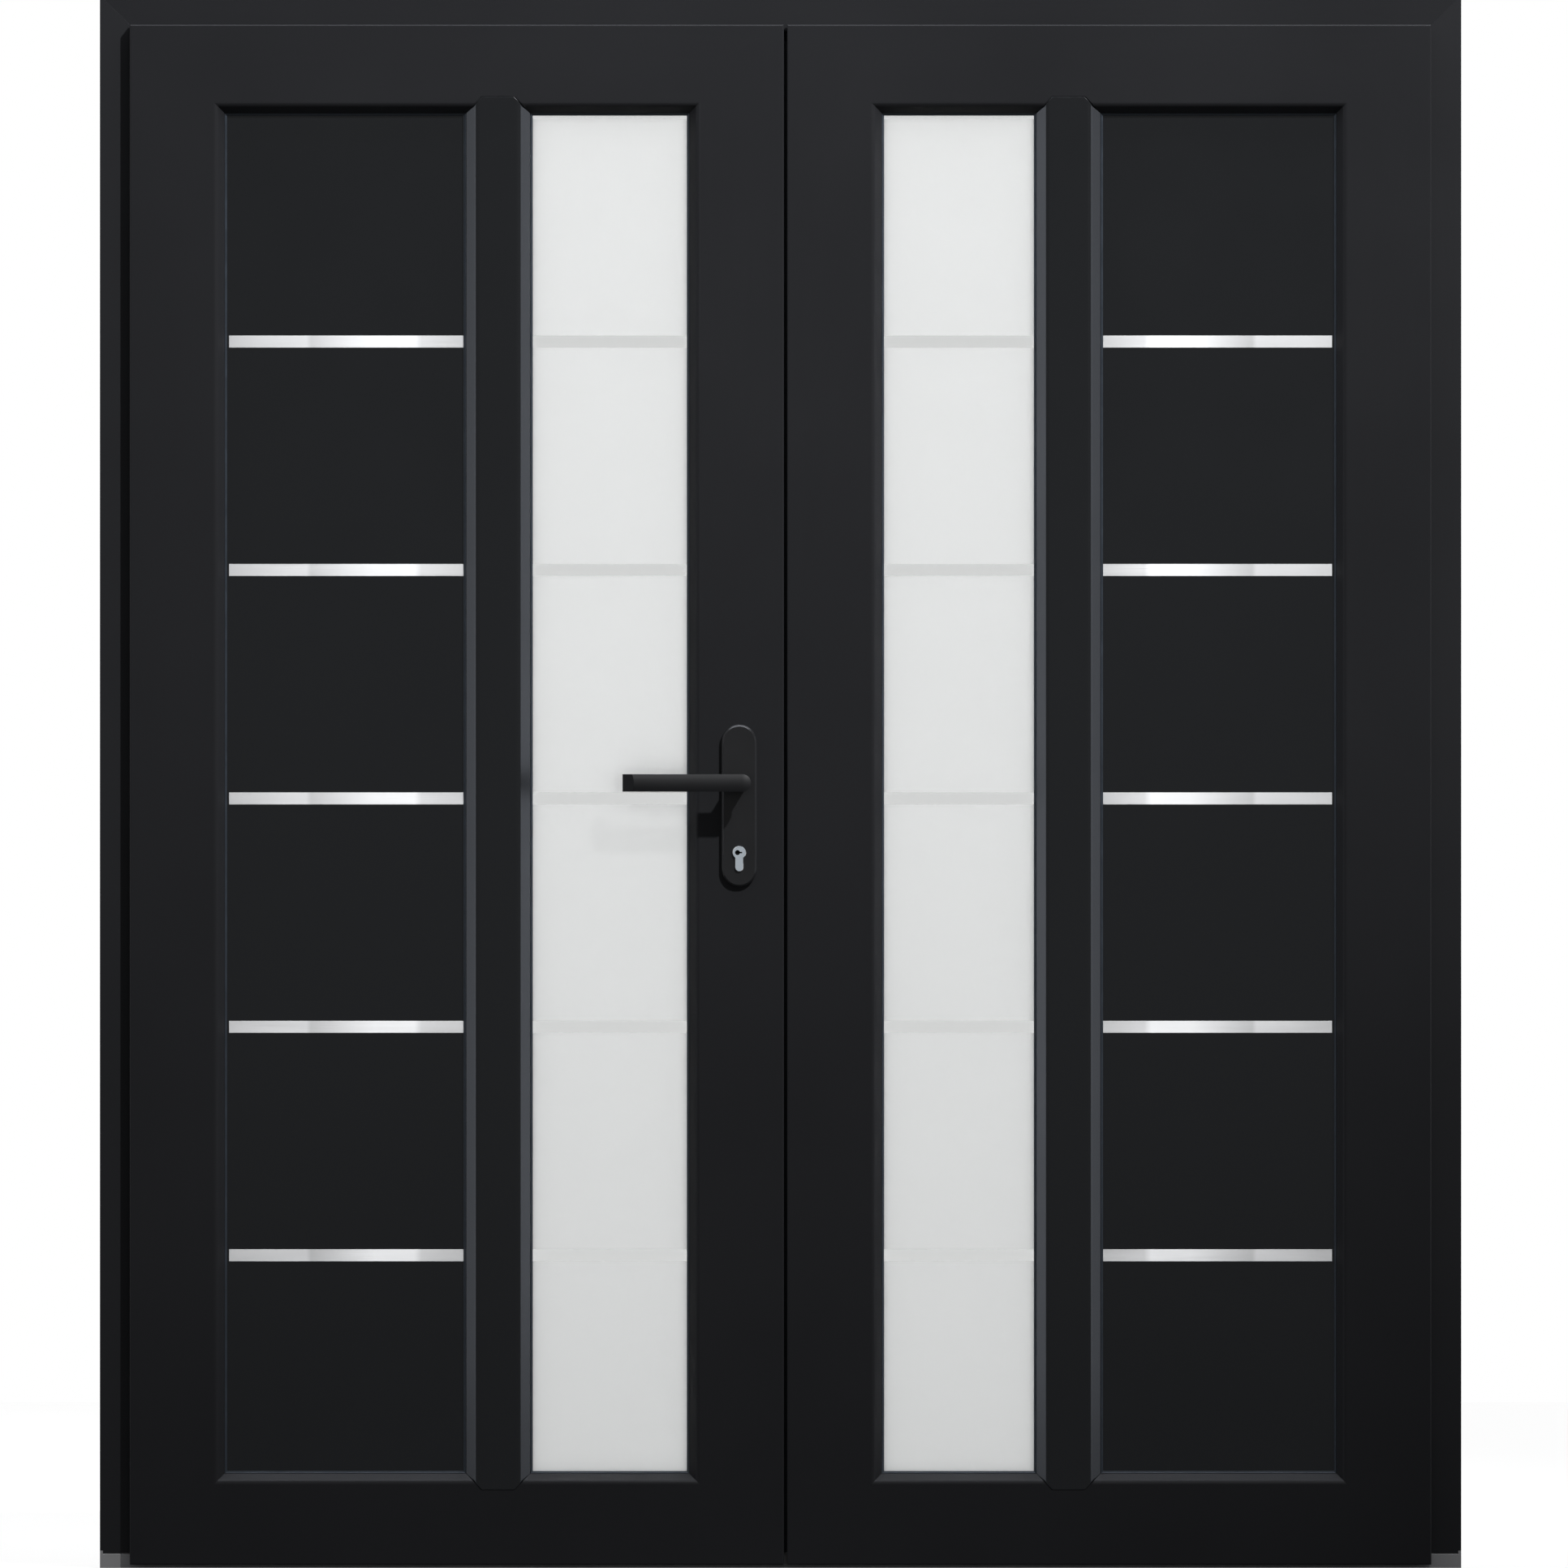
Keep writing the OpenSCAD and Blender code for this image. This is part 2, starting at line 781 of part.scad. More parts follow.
module hinge_frame_screws() {
    color(steel) {
        at_active()
            left_frame_screws();
        at_passive()
            left_frame_screws();
    }
}

// Profile cylinder seen from the front, grown by g
module euro_prism(g, y0, y1) {
    rod_y(cyl_r + g, y0, y1);
    span([-cyl_w / 2 - g, y0, cyl_r - cyl_h + cyl_w / 2], [cyl_w / 2 + g, y1, 0]);
    translate([0, 0, cyl_r - cyl_h + cyl_w / 2])
        rod_y(cyl_w / 2 + g, y0, y1);
}

// Lock place in the active leaf: u = 0 is the meeting edge's faceplate, +u points into the leaf
module at_lock() {
    translate([-leaf_x + active_w - meet_over, 0, 0])
        mirror([1, 0, 0])
            children();
}

// Room for the lock in the active meeting stile
module lock_room() {
    side = case_t / 2 + slip_fit;
    span([-1, leaf_mid - face_w / 2, case_lo - 25], [face_t, leaf_mid + face_w / 2, case_hi + 25]);
    span([0, leaf_mid - side, case_lo - 0.5], [case_d + 1, leaf_mid + side, case_hi + 0.5]);
    translate([backset, 0, lever_z])
        rod_y(neck_r + 2, leaf_front - 1, leaf_back + 1);
    translate([backset, 0, key_z])
        euro_prism(0.5, leaf_front - 1, leaf_back + 1);
    for (z = screw_zs)
        translate([backset, 0, z])
            rod_y(2.7, leaf_front - 1, leaf_back + 1);
}

module active_hinge_stile() {
    color(black)
        at_active()
            hinge_stile(active_w);
}

module active_meeting_stile() {
    color(black)
        difference() {
            at_active()
                meeting_stile(active_w);
            at_lock()
                lock_room();
        }
}

module active_top_rail() {
    color(black)
        at_active()
            top_rail(active_w);
}

module active_bottom_rail() {
    color(black)
        at_active()
            bottom_rail(active_w);
}

module active_mullion() {
    color(black)
        at_active()
            mullion(active_w);
}

module active_panel() {
    color(panel_black)
        at_active()
            panel(active_w);
}

module active_panel_strips() {
    color(steel)
        at_active()
            panel_strips(active_w);
}

module active_glass_outer() {
    color(glass_white)
        at_active()
            pane(active_w, infill_front);
}

module active_glass_inner() {
    color(glass_white)
        at_active()
            pane(active_w, infill_back - pane_t);
}

module active_glass_spacer() {
    color(zinc)
        at_active()
            glass_spacer(active_w);
}

module active_glazing_gaskets() {
    color(seal_black)
        at_active()
            glazing_gaskets(active_w);
}

module active_glazing_beads() {
    color(black)
        at_active()
            glazing_beads(active_w);
}

module active_leaf_seal() {
    color(seal_black)
        at_active()
            leaf_seal(active_w);
}

module active_meeting_seal() {
    color(seal_black)
        at_active()
            meeting_seal(active_w, 0.5);
}

module active_hinge_plates() {
    color(zinc)
        at_active()
            hinge_plates();
}

module active_hinge_screws() {
    color(steel)
        at_active()
            leaf_hinge_screws();
}

module passive_hinge_stile() {
    color(black)
        at_passive()
            hinge_stile(passive_w);
}

module passive_meeting_stile() {
    color(black)
        difference() {
            at_passive()
                meeting_stile(passive_w);
            at_flush()
                flush_room();
            at_flush()
                span(
                    [-1, leaf_mid - bolt_t / 2 - 1, dead_lo - 1],
                    [12, leaf_mid + bolt_t / 2 + 1, latch_hi + 1]
                );
        }
}

module passive_top_rail() {
    color(black)
        at_passive()
            top_rail(passive_w);
}

module passive_bottom_rail() {
    color(black)
        at_passive()
            bottom_rail(passive_w);
}

module passive_mullion() {
    color(black)
        at_passive()
            mullion(passive_w);
}

module passive_panel() {
    color(panel_black)
        at_passive()
            panel(passive_w);
}

module passive_panel_strips() {
    color(steel)
        at_passive()
            panel_strips(passive_w);
}

module passive_glass_outer() {
    color(glass_white)
        at_passive()
            pane(passive_w, infill_front);
}

module passive_glass_inner() {
    color(glass_white)
        at_passive()
            pane(passive_w, infill_back - pane_t);
}

module passive_glass_spacer() {
    color(zinc)
        at_passive()
            glass_spacer(passive_w);
}

module passive_glazing_gaskets() {
    color(seal_black)
        at_passive()
            glazing_gaskets(passive_w);
}

module passive_glazing_beads() {
    color(black)
        at_passive()
            glazing_beads(passive_w);
}

module passive_leaf_seal() {
    color(seal_black)
        at_passive()
            leaf_seal(passive_w);
}

module passive_meeting_seal() {
    color(seal_black)
        at_passive()
            meeting_seal(passive_w, 5.5);
}

module passive_hinge_plates() {
    color(zinc)
        at_passive()
            hinge_plates();
}

module passive_hinge_screws() {
    color(steel)
        at_passive()
            leaf_hinge_screws();
}

// Lock pieces, with u running from the faceplate into the leaf
module lock_faceplate() {
    color(steel)
        at_lock()
            difference() {
                span(
                    [0, leaf_mid - face_w / 2, case_lo - 25],
                    [face_t, leaf_mid + face_w / 2, case_hi + 25]
                );
                bolt_windows();
            }
}

// Windows for the two bolts
module bolt_windows() {
    span(
        [-1, leaf_mid - bolt_t / 2 - slip_fit, latch_lo - slip_fit],
        [face_t + 4, leaf_mid + bolt_t / 2 + slip_fit, latch_hi + slip_fit]
    );
    span(
        [-1, leaf_mid - bolt_t / 2 - slip_fit, dead_lo - slip_fit],
        [face_t + 4, leaf_mid + bolt_t / 2 + slip_fit, dead_hi + slip_fit]
    );
}

module lock_case() {
    color(zinc)
        at_lock()
            difference() {
                span(
                    [face_t, leaf_mid - case_t / 2, case_lo],
                    [case_d, leaf_mid + case_t / 2, case_hi]
                );
                span(
                    [face_t + 1.5, leaf_mid - case_t / 2 + 1.5, case_lo + 1.5],
                    [case_d - 1.5, leaf_mid + case_t / 2 - 1.5, case_hi - 1.5]
                );
                bolt_windows();
                translate([backset, 0, lever_z])
                    rod_y(9 + run_fit, leaf_mid - case_t, leaf_mid + case_t);
                translate([backset, 0, key_z])
                    euro_prism(slip_fit, leaf_mid - case_t, leaf_mid + case_t);
                translate([backset, 0, screw_zs[0]])
                    rod_y(plate_screw_r + slip_fit, leaf_mid - case_t, leaf_mid + case_t);
            }
}

// Latch bolt with a sloped nose on the closing side, and a tail with a hook for the follower
module latch_bolt() {
    color(steel)
        at_lock() {
            translate([0, 0, latch_lo])
                linear_extrude(height = latch_hi - latch_lo)
                    polygon([
                        [-latch_out, leaf_mid - bolt_t / 2], [-latch_out + 2, leaf_mid - bolt_t / 2 + 3],
                        [0, leaf_mid + bolt_t / 2], [30, leaf_mid + bolt_t / 2], [30, leaf_mid - bolt_t / 2]
                    ]);
            span([30 - eps, leaf_mid - 2, latch_lo + 4], [backset + 6, leaf_mid + 2, latch_lo + 10]);
            span(
                [backset + 3 + slip_fit, leaf_mid - 2, lever_z + 13],
                [backset + 6, leaf_mid + 2, latch_lo + 5]
            );
        }
}

module dead_bolt() {
    color(steel)
        at_lock()
            span([0.5, leaf_mid - bolt_t / 2, dead_lo], [dead_end, leaf_mid + bolt_t / 2, dead_hi]);
}

// Follower: a hub that the spindle turns, with an arm towards the latch's tail
module lock_follower() {
    color(zinc)
        at_lock()
            translate([backset, 0, lever_z])
                difference() {
                    union() {
                        rod_y(9, leaf_mid - case_t / 2, leaf_mid + case_t / 2);
                        rod_y(12, leaf_mid - 5, leaf_mid + 5);
                        span([-3, leaf_mid - 2, 0], [3, leaf_mid + 2, 18.5]);
                    }
                    span(
                        [-spindle_w / 2, leaf_mid - 20, -spindle_w / 2],
                        [spindle_w / 2, leaf_mid + 20, spindle_w / 2]
                    );
                }
}

// Profile cylinder: plug bores from both ends and a gap for the cam in the middle
module cylinder_body() {
    color(zinc)
        at_lock()
            translate([backset, 0, key_z])
                difference() {
                    euro_prism(0, cyl_front, cyl_back);
                    rod_y(plug_r + run_fit, cyl_front - 1, cyl_back + 1);
                    span([-20, leaf_mid - cam_t / 2 - 0.5, -16], [20, leaf_mid + cam_t / 2 + 0.5, 20]);
                }
}

// Keyway, cut into a plug's face at y with its depth along dir: a level slot with a round mouth at one end
module keyway(y, dir) {
    slot_in = min(y - dir, y + dir * 24);
    slot_out = max(y - dir, y + dir * 24);
    span([-3.8, slot_in, -0.9], [5.1, slot_out, 0.9]);
    translate([2.3, 0, 0])
        rod_y(3.3, min(y - dir, y + dir * 3), max(y - dir, y + dir * 3));
}

module outer_plug() {
    color(zinc)
        at_lock()
            translate([backset, 0, key_z])
                difference() {
                    union() {
                        rod_y(plug_r, cyl_front, leaf_mid + cam_t / 2);
                        rod_y(cyl_r, leaf_mid - cam_t / 2, leaf_mid + cam_t / 2);
                        rotate([0, 30, 0])
                            span([-4, leaf_mid - cam_t / 2 + 1, -15], [4, leaf_mid + cam_t / 2 - 1, 0]);
                    }
                    keyway(cyl_front, 1);
                }
}

module inner_plug() {
    color(zinc)
        at_lock()
            translate([backset, 0, key_z])
                difference() {
                    rod_y(plug_r, leaf_mid + cam_t / 2 + slip_fit, cyl_back);
                    keyway(cyl_back, -1);
                }
}

// Backplate with round ends and a bevelled edge; its face points to -Y and its back lies at y = 0
module backplate() {
    bevel = 2.5;
    r = back_w / 2;
    mid = back_h / 2 - r;
    for (s = [-1, 1])
        translate([0, 0, s * mid])
            rotate([90, 0, 0]) {
                cylinder(r = r, h = back_t - bevel);
                translate([0, 0, back_t - bevel])
                    cylinder(r1 = r, r2 = r - bevel, h = bevel);
            }
    translate([0, 0, -mid])
        linear_extrude(height = 2 * mid)
            polygon([
                [-r, 0], [r, 0], [r, -back_t + bevel], [r - bevel, -back_t],
                [-r + bevel, -back_t], [-r, -back_t + bevel]
            ]);
}

// Openings of a backplate at its place on the leaf
module backplate_holes(y0, y1) {
    translate([backset, 0, lever_z])
        rod_y(neck_r + slip_fit, y0, y1);
    translate([backset, 0, key_z])
        euro_prism(slip_fit, y0, y1);
}

module outer_backplate() {
    color(black)
        at_lock()
            difference() {
                translate([backset, leaf_front, back_z])
                    backplate();
                backplate_holes(leaf_front - 20, leaf_front + 1);
                for (z = screw_zs)
                    translate([backset, 0, z])
                        rod_y(plate_screw_r, leaf_front - 6, leaf_front + 1);
            }
}

module inner_backplate() {
    color(black)
        at_lock()
            difference() {
                translate([backset, leaf_back, back_z])
                    mirror([0, 1, 0])
                        backplate();
                backplate_holes(leaf_back - 1, leaf_back + 20);
                for (z = screw_zs)
                    translate([backset, 0, z]) {
                        rod_y(plate_screw_r, leaf_back - 1, leaf_back + 20);
                        rod_y(plate_screw_head, leaf_back + back_t - 3, leaf_back + 20);
                    }
            }
}

module backplate_screws() {
    color(steel)
        at_lock()
            for (z = screw_zs)
                translate([backset, 0, z])
                    difference() {
                        union() {
                            rod_y(plate_screw_r, leaf_front - 6, leaf_back + back_t - 1);
                            rod_y(plate_screw_head, leaf_back + back_t - 3, leaf_back + back_t - 0.5);
                        }
                        span([-3.5, leaf_back + back_t - 1.7, -0.6], [3.5, leaf_back + back_t, 0.6]);
                    }
}

// Lever in plan: a straight bar and an end turned back to the door
module lever_plan() {
    front = -stand;
    back = front + lever_t;
    tip = lever_l;
    start = lever_end_r - lever_past;
    polygon([
        [start, front], [tip - lever_turn, front], [tip, front + lever_turn],
        [tip, front + lever_return], [tip - lever_t, front + lever_return],
        [tip - lever_t, back + lever_turn / 2], [tip - lever_turn - 3, back], [start, back]
    ]);
}

// Lever: a crowned bar with a domed end and a round neck; the spindle's axis is u = 0, z = 0
// and the leaf's face lies on y = 0
module lever() {
    front = -stand;
    start = lever_end_r - lever_past;
    difference() {
        union() {
            intersection() {
                translate([0, 0, -lever_h / 2])
                    linear_extrude(height = lever_h)
                        lever_plan();
                translate([0, front + crown_r, 0])
                    rod_x(crown_r, start - 1, lever_l + 1);
            }
            intersection() {
                translate([start, 0, 0])
                    rod_y(lever_end_r, front, front + lever_t);
                translate([start, front + crown_r, 0])
                    sphere(r = crown_r);
            }
            rod_y(neck_r, front + lever_t / 2, -slip_fit);
        }
        span([-spindle_w / 2, -30, -spindle_w / 2], [spindle_w / 2, 1, spindle_w / 2]);
    }
}

module outer_lever() {
    color(black)
        at_lock()
            translate([backset, leaf_front, lever_z])
                lever();
}

module inner_lever() {
    color(black)
        at_lock()
            translate([backset, leaf_back, lever_z])
                mirror([0, 1, 0])
                    lever();
}

module spindle() {
    color(steel)
        at_lock()
            translate([backset, 0, lever_z])
                span(
                    [-spindle_w / 2, leaf_front - 30, -spindle_w / 2],
                    [spindle_w / 2, leaf_back + 30, spindle_w / 2]
                );
}

// Place of the bolts in the passive leaf: u = 0 is its meeting edge, +u points into the leaf
module at_flush() {
    translate([leaf_x - passive_w + meet_over, 0, 0])
        children();
}

module flush_room() {
    bore = flush_in - meet_over;
    z_up = upper_end - flush_len;
    translate([bore, leaf_mid, z_up - 5])
        cylinder(r = flush_r + run_fit, h = flush_len + 10);
    translate([bore, leaf_mid, lower_end - 5])
        cylinder(r = flush_r + run_fit, h = flush_len + 10 + flush_out);
    for (z = [upper_end - thumb_at, lower_end + thumb_at]) {
        span([2, leaf_mid - 4, z - thumb_room], [bore, leaf_mid + 4, z + thumb_room]);
        span(
            [-1, leaf_mid - face_w / 2, z - flush_plate_h / 2],
            [2, leaf_mid + face_w / 2, z + flush_plate_h / 2]
        );
    }
}

// Flush bolt: a rod with a thumb piece that reaches out through the plate's slot
module flush_bolt(z0, thumb_z) {
    bore = flush_in - meet_over;
    translate([bore, leaf_mid, z0])
        cylinder(r = flush_r, h = flush_len);
    span([-2, leaf_mid - 3, thumb_z - thumb_h / 2], [bore, leaf_mid + 3, thumb_z + thumb_h / 2]);
}

module upper_flush_bolt() {
    color(steel)
        at_flush()
            flush_bolt(upper_end - flush_len, upper_end - thumb_at);
}

module lower_flush_bolt() {
    color(steel)
        at_flush()
            flush_bolt(lower_end, lower_end + thumb_at);
}

module flush_bolt_plates() {
    color(steel)
        at_flush()
            for (z = [upper_end - thumb_at, lower_end + thumb_at])
                difference() {
                    span(
                        [0, leaf_mid - face_w / 2, z - flush_plate_h / 2],
                        [2, leaf_mid + face_w / 2, z + flush_plate_h / 2]
                    );
                    span([-1, leaf_mid - 3.4, z - 30], [3, leaf_mid + 3.4, z + 30]);
                }
}

// Strike plate, proud of the passive meeting edge, with pockets for latch and dead bolt
module strike_plate() {
    color(steel)
        at_flush()
            difference() {
                span([-strike_t, leaf_mid - 11, strike_lo], [0, leaf_mid + 11, strike_hi]);
                span(
                    [-strike_t - 1, leaf_mid - bolt_t / 2 - 0.8, latch_lo - 0.8],
                    [1, leaf_mid + bolt_t / 2 + 0.8, latch_hi + 0.8]
                );
                span(
                    [-strike_t - 1, leaf_mid - bolt_t / 2 - 0.8, dead_lo - 0.8],
                    [1, leaf_mid + bolt_t / 2 + 0.8, dead_hi + 0.8]
                );
            }
}

left_jamb();
right_jamb();
head();
threshold();
frame_seal();
head_keep();
hinge_frame_plates();
hinge_pins();
hinge_frame_screws();
active_hinge_stile();
active_meeting_stile();
active_top_rail();
active_bottom_rail();
active_mullion();
active_panel();
active_panel_strips();
active_glass_outer();
active_glass_inner();
active_glass_spacer();
active_glazing_gaskets();
active_glazing_beads();
active_leaf_seal();
active_meeting_seal();
active_hinge_plates();
active_hinge_screws();
passive_hinge_stile();
passive_meeting_stile();
passive_top_rail();
passive_bottom_rail();
passive_mullion();
passive_panel();
passive_panel_strips();
passive_glass_outer();
passive_glass_inner();
passive_glass_spacer();
passive_glazing_gaskets();
passive_glazing_beads();
passive_leaf_seal();
passive_meeting_seal();
passive_hinge_plates();
passive_hinge_screws();
lock_faceplate();
lock_case();
latch_bolt();
dead_bolt();
lock_follower();
cylinder_body();
outer_plug();
inner_plug();
outer_backplate();
inner_backplate();
backplate_screws();
outer_lever();
inner_lever();
spindle();
strike_plate();
upper_flush_bolt();
lower_flush_bolt();
flush_bolt_plates();
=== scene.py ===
"""French doors with their frame: finishes, small fasteners, light and camera around the solid model."""

import math

import bmesh
import bpy
from bpy.props import FloatProperty, FloatVectorProperty, PointerProperty
from mathutils import Matrix, Vector


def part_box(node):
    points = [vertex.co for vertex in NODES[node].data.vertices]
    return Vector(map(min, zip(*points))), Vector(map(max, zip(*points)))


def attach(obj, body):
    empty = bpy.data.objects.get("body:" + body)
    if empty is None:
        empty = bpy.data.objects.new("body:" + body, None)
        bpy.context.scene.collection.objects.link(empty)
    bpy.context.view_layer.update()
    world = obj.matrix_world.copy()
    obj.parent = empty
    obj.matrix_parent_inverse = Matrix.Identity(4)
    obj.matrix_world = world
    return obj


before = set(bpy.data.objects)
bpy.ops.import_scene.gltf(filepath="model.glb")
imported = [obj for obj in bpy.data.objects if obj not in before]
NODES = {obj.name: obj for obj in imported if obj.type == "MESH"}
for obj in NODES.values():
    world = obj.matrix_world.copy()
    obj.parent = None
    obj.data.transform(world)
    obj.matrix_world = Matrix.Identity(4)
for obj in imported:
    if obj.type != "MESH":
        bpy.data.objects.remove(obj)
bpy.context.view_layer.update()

bl_info = {
    "name": "French Doors",
    "version": (1, 0, 0),
    "blender": (4, 5, 0),
    "location": "View3D > Sidebar > Doors",
    "description": "Finishes and small pieces of a pair of black french doors",
    "category": "Object",
}

LEAVES = ("active", "passive")
UPRIGHTS = ("hinge_stile", "meeting_stile")
LEVELS = ("top_rail", "bottom_rail")

# Lengths in metres, angles in degrees
WELD = 0.000002  # corners closer than this count as one, so that edges can be rounded
PROFILE_ANGLE = 25.0  # edges sharper than this are rounded
FITTING_ANGLE = 40.0
PLATE_ANGLE = 30.0
PLATE_EDGE = 1.5  # a backplate's rounding, in roundings of a fitting
PLATE_INSET = 0.012  # screws to the ends of faceplate and bolt plates
STRIKE_INSET = 0.0065
KEEP_INSET = 0.009
BOLT_PLATE = 0.13  # height of one flush bolt plate
HEAD_SIDES = 24  # sides of a screw head
STRIPES = 5  # clear stripes in a pane

KEY_PLACE, KEY_AIM, KEY_CONE = (6.37, -10.41, 11.56), (0.48, 0.0, 2.8), 18.6
SIDE_AWAY, SIDE_FORE, SIDE_HIGH = 4.0, -1.15, 1.1
SKY_PLACE, SKY_AIM = (0.0, -0.35, 3.2), (0.0, -0.34, 0.0)
GLINT_PLACE, GLINT_AIM = (0.0, -9.0, 0.55), (0.0, 0.0, 0.9)
FLOOR_REACH = 8.0
SENSOR, FAR = 36.0, 200.0  # camera sensor in millimetres, clipping distance


def srgb(r, g, b):
    """Linear colour of an 8 bit display colour."""
    return tuple((c / 255 / 12.92) if c <= 10 else ((c / 255 + 0.055) / 1.055) ** 2.4 for c in (r, g, b))


def shade(name, default, text):
    """Colour property with a plain description."""
    return FloatVectorProperty(
        name=name, description=text, default=default, size=3, min=0.0, max=1.0, subtype="COLOR"
    )


def length(name, default, text):
    """Length property in metres."""
    return FloatProperty(name=name, description=text, default=default, min=0.0, unit="LENGTH")


def share(name, default, text):
    """Property from nothing to one."""
    return FloatProperty(name=name, description=text, default=default, min=0.0, max=1.0, subtype="FACTOR")


def power(name, default, text):
    """Power of a lamp in watts."""
    return FloatProperty(name=name, description=text, default=default, min=0.0, subtype="POWER")


class DoorColours(bpy.types.PropertyGroup):
    """Colours of the finishes"""

    profile: shade("Profiles", srgb(34.2, 34.8, 37.0), "Satin black of head, stiles and rails")
    # Painted light: the jambs' black is lighter than the profiles' to make up for less light reaching them
    # beside the leaves.
    jamb: shade("Jambs", srgb(37.4, 38.0, 40.2), "Satin black of the jambs")
    panel: shade("Panels", srgb(12, 13, 15.5), "Smooth black of the panels")
    handle: shade("Handle", srgb(27, 27.6, 29.4), "Satin black paint of levers and backplates")
    rubber: shade("Seals", srgb(23, 24, 26), "Black of the seals")
    # Partly painted sheen: the gaskets' black is lighter and bluer than the seals', standing in for the
    # light their rounded lips catch.
    gasket: shade("Gaskets", srgb(40, 46, 54), "Blue black of the glazing gaskets")
    strip: shade("Strips", (0.5, 0.505, 0.51), "Bright steel of the strips")
    nickel: shade("Cylinder", (0.64, 0.71, 0.77), "Satin nickel of the key cylinder")
    steel: shade("Fittings", (0.62, 0.63, 0.65), "Steel of bolts, plates and screws")
    zinc: shade("Zinc", (0.5, 0.51, 0.53), "Plated zinc of hinges and lock case")
    sill: shade("Threshold", srgb(168, 168, 169), "Grey anodised aluminium of the threshold")
    frost: shade("Frosted glass", (0.945, 0.948, 0.948), "Tint of the frosted panes")
    clear: shade("Clear glass", (0.97, 0.98, 0.975), "Tint of the clear panes")


class DoorSizes(bpy.types.PropertyGroup):
    """Sizes of edges, grain and the clear stripes"""

    edge: length("Profile edge", 0.00015, "Rounding of the profiles' cut edges and mitres")
    joint: length("Joint edge", 0.0007, "Rounding of the mullions' edges")
    gasket_edge: length("Gasket edge", 0.0006, "Rounding of the glazing gaskets' lips")
    metal_edge: length("Fitting edge", 0.0003, "Rounding of the metal fittings' edges")
    grain: length("Grain", 0.0006, "Size of the profiles' fine surface grain")
    stripe: length("Stripe height", 0.016, "Height of a clear stripe in the frosted glass")
    head: length("Screw head", 0.0034, "Radius of the small screw heads")


class DoorStage(bpy.types.PropertyGroup):
    """Light, floor and camera"""

    span: length("Picture height", 2.07185, "Height of the picture at the leaves' faces")
    aim_x: FloatProperty(name="Aim across", description="Sideways aim", default=0.00456, unit="LENGTH")
    aim_z: FloatProperty(name="Aim height", description="Height of the aim", default=1.0366, unit="LENGTH")
    reach: length("Distance", 30.0, "Distance of the camera from the leaves' faces")
    key: power("Key light", 12700.0, "Power of the key light high at the right")
    side: power("Side lights", 9.2, "Power of each of the two soft lights beside the doors")
    sky: power("Top light", 25.0, "Power of the soft light above the doors")
    ambient: share("Ambient", 0.165, "Even light from all around")
    glint: power("Strip light", 235.0, "Power of the light that only the steel strips catch")
    cool: shade("Cool light", (0.88, 0.91, 1.0), "Slightly blue light from the sides and above")
    front: share("Dark side", 0.165, "Brightness of the studio behind the camera, as reflections show it")


class Tree:
    """A node tree with short calls."""

    def __init__(self, tree):
        self.tree = tree

    def add(self, kind, **settings):
        node = self.tree.nodes.new(kind)
        for key, value in settings.items():
            setattr(node, key, value)
        return node

    def put(self, value, socket):
        """Sets a socket to a constant, or links it to another socket."""
        if isinstance(value, bpy.types.NodeSocket):
            self.tree.links.new(value, socket)
        else:
            socket.default_value = value

    def math(self, operation, a, b=0.0):
        node = self.add("ShaderNodeMath", operation=operation)
        for value, socket in zip((a, b), node.inputs):
            self.put(value, socket)
        return node.outputs["Value"]


class Nodes(Tree):
    """A material's node tree with short calls for the nodes in use."""

    def __init__(self, name):
        self.material = bpy.data.materials.new(name)
        self.material.use_nodes = True
        super().__init__(self.material.node_tree)
        self.shader = self.tree.nodes["Principled BSDF"]
        self.place = self.add("ShaderNodeTexCoord").outputs["Object"]

    def set(self, **sockets):
        """Sets the shader's sockets by name."""
        for name, value in sockets.items():
            self.put(value, self.shader.inputs[name.replace("_", " ")])

    def scaled(self, scale, source=None):
        node = self.add("ShaderNodeMapping")
        self.put(source or self.place, node.inputs["Vector"])
        node.inputs["Scale"].default_value = scale
        return node.outputs["Vector"]

    def noise(self, scale, detail=3.0, rough=0.55, source=None):
        node = self.add("ShaderNodeTexNoise")
        self.put(source or self.place, node.inputs["Vector"])
        node.inputs["Scale"].default_value = scale
        node.inputs["Detail"].default_value = detail
        node.inputs["Roughness"].default_value = rough
        return node.outputs["Fac"]

    def ramp(self, source, low, high, start=0.3, stop=0.7):
        """Runs a value from low to high while the source goes from start to stop."""
        node = self.add("ShaderNodeMapRange")
        self.put(source, node.inputs["Value"])
        for key, value in (("From Min", start), ("From Max", stop), ("To Min", low), ("To Max", high)):
            node.inputs[key].default_value = value
        return node.outputs["Result"]

    def mix(self, factor, a, b):
        node = self.add("ShaderNodeMix", data_type="RGBA")
        self.put(factor, node.inputs["Factor"])
        for value, key in ((a, 6), (b, 7)):
            self.put(value if isinstance(value, bpy.types.NodeSocket) else (*value, 1.0), node.inputs[key])
        return node.outputs[2]

    def bump(self, height, strength, distance, under=None):
        node = self.add("ShaderNodeBump")
        self.put(height, node.inputs["Height"])
        node.inputs["Strength"].default_value = strength
        node.inputs["Distance"].default_value = distance
        if under is not None:
            self.put(under, node.inputs["Normal"])
        return node.outputs["Normal"]

    def split(self):
        node = self.add("ShaderNodeSeparateXYZ")
        self.put(self.place, node.inputs["Vector"])
        return node.outputs


def tone(colour, factor):
    """A colour made lighter or darker."""
    return tuple(min(1.0, c * factor) for c in colour)


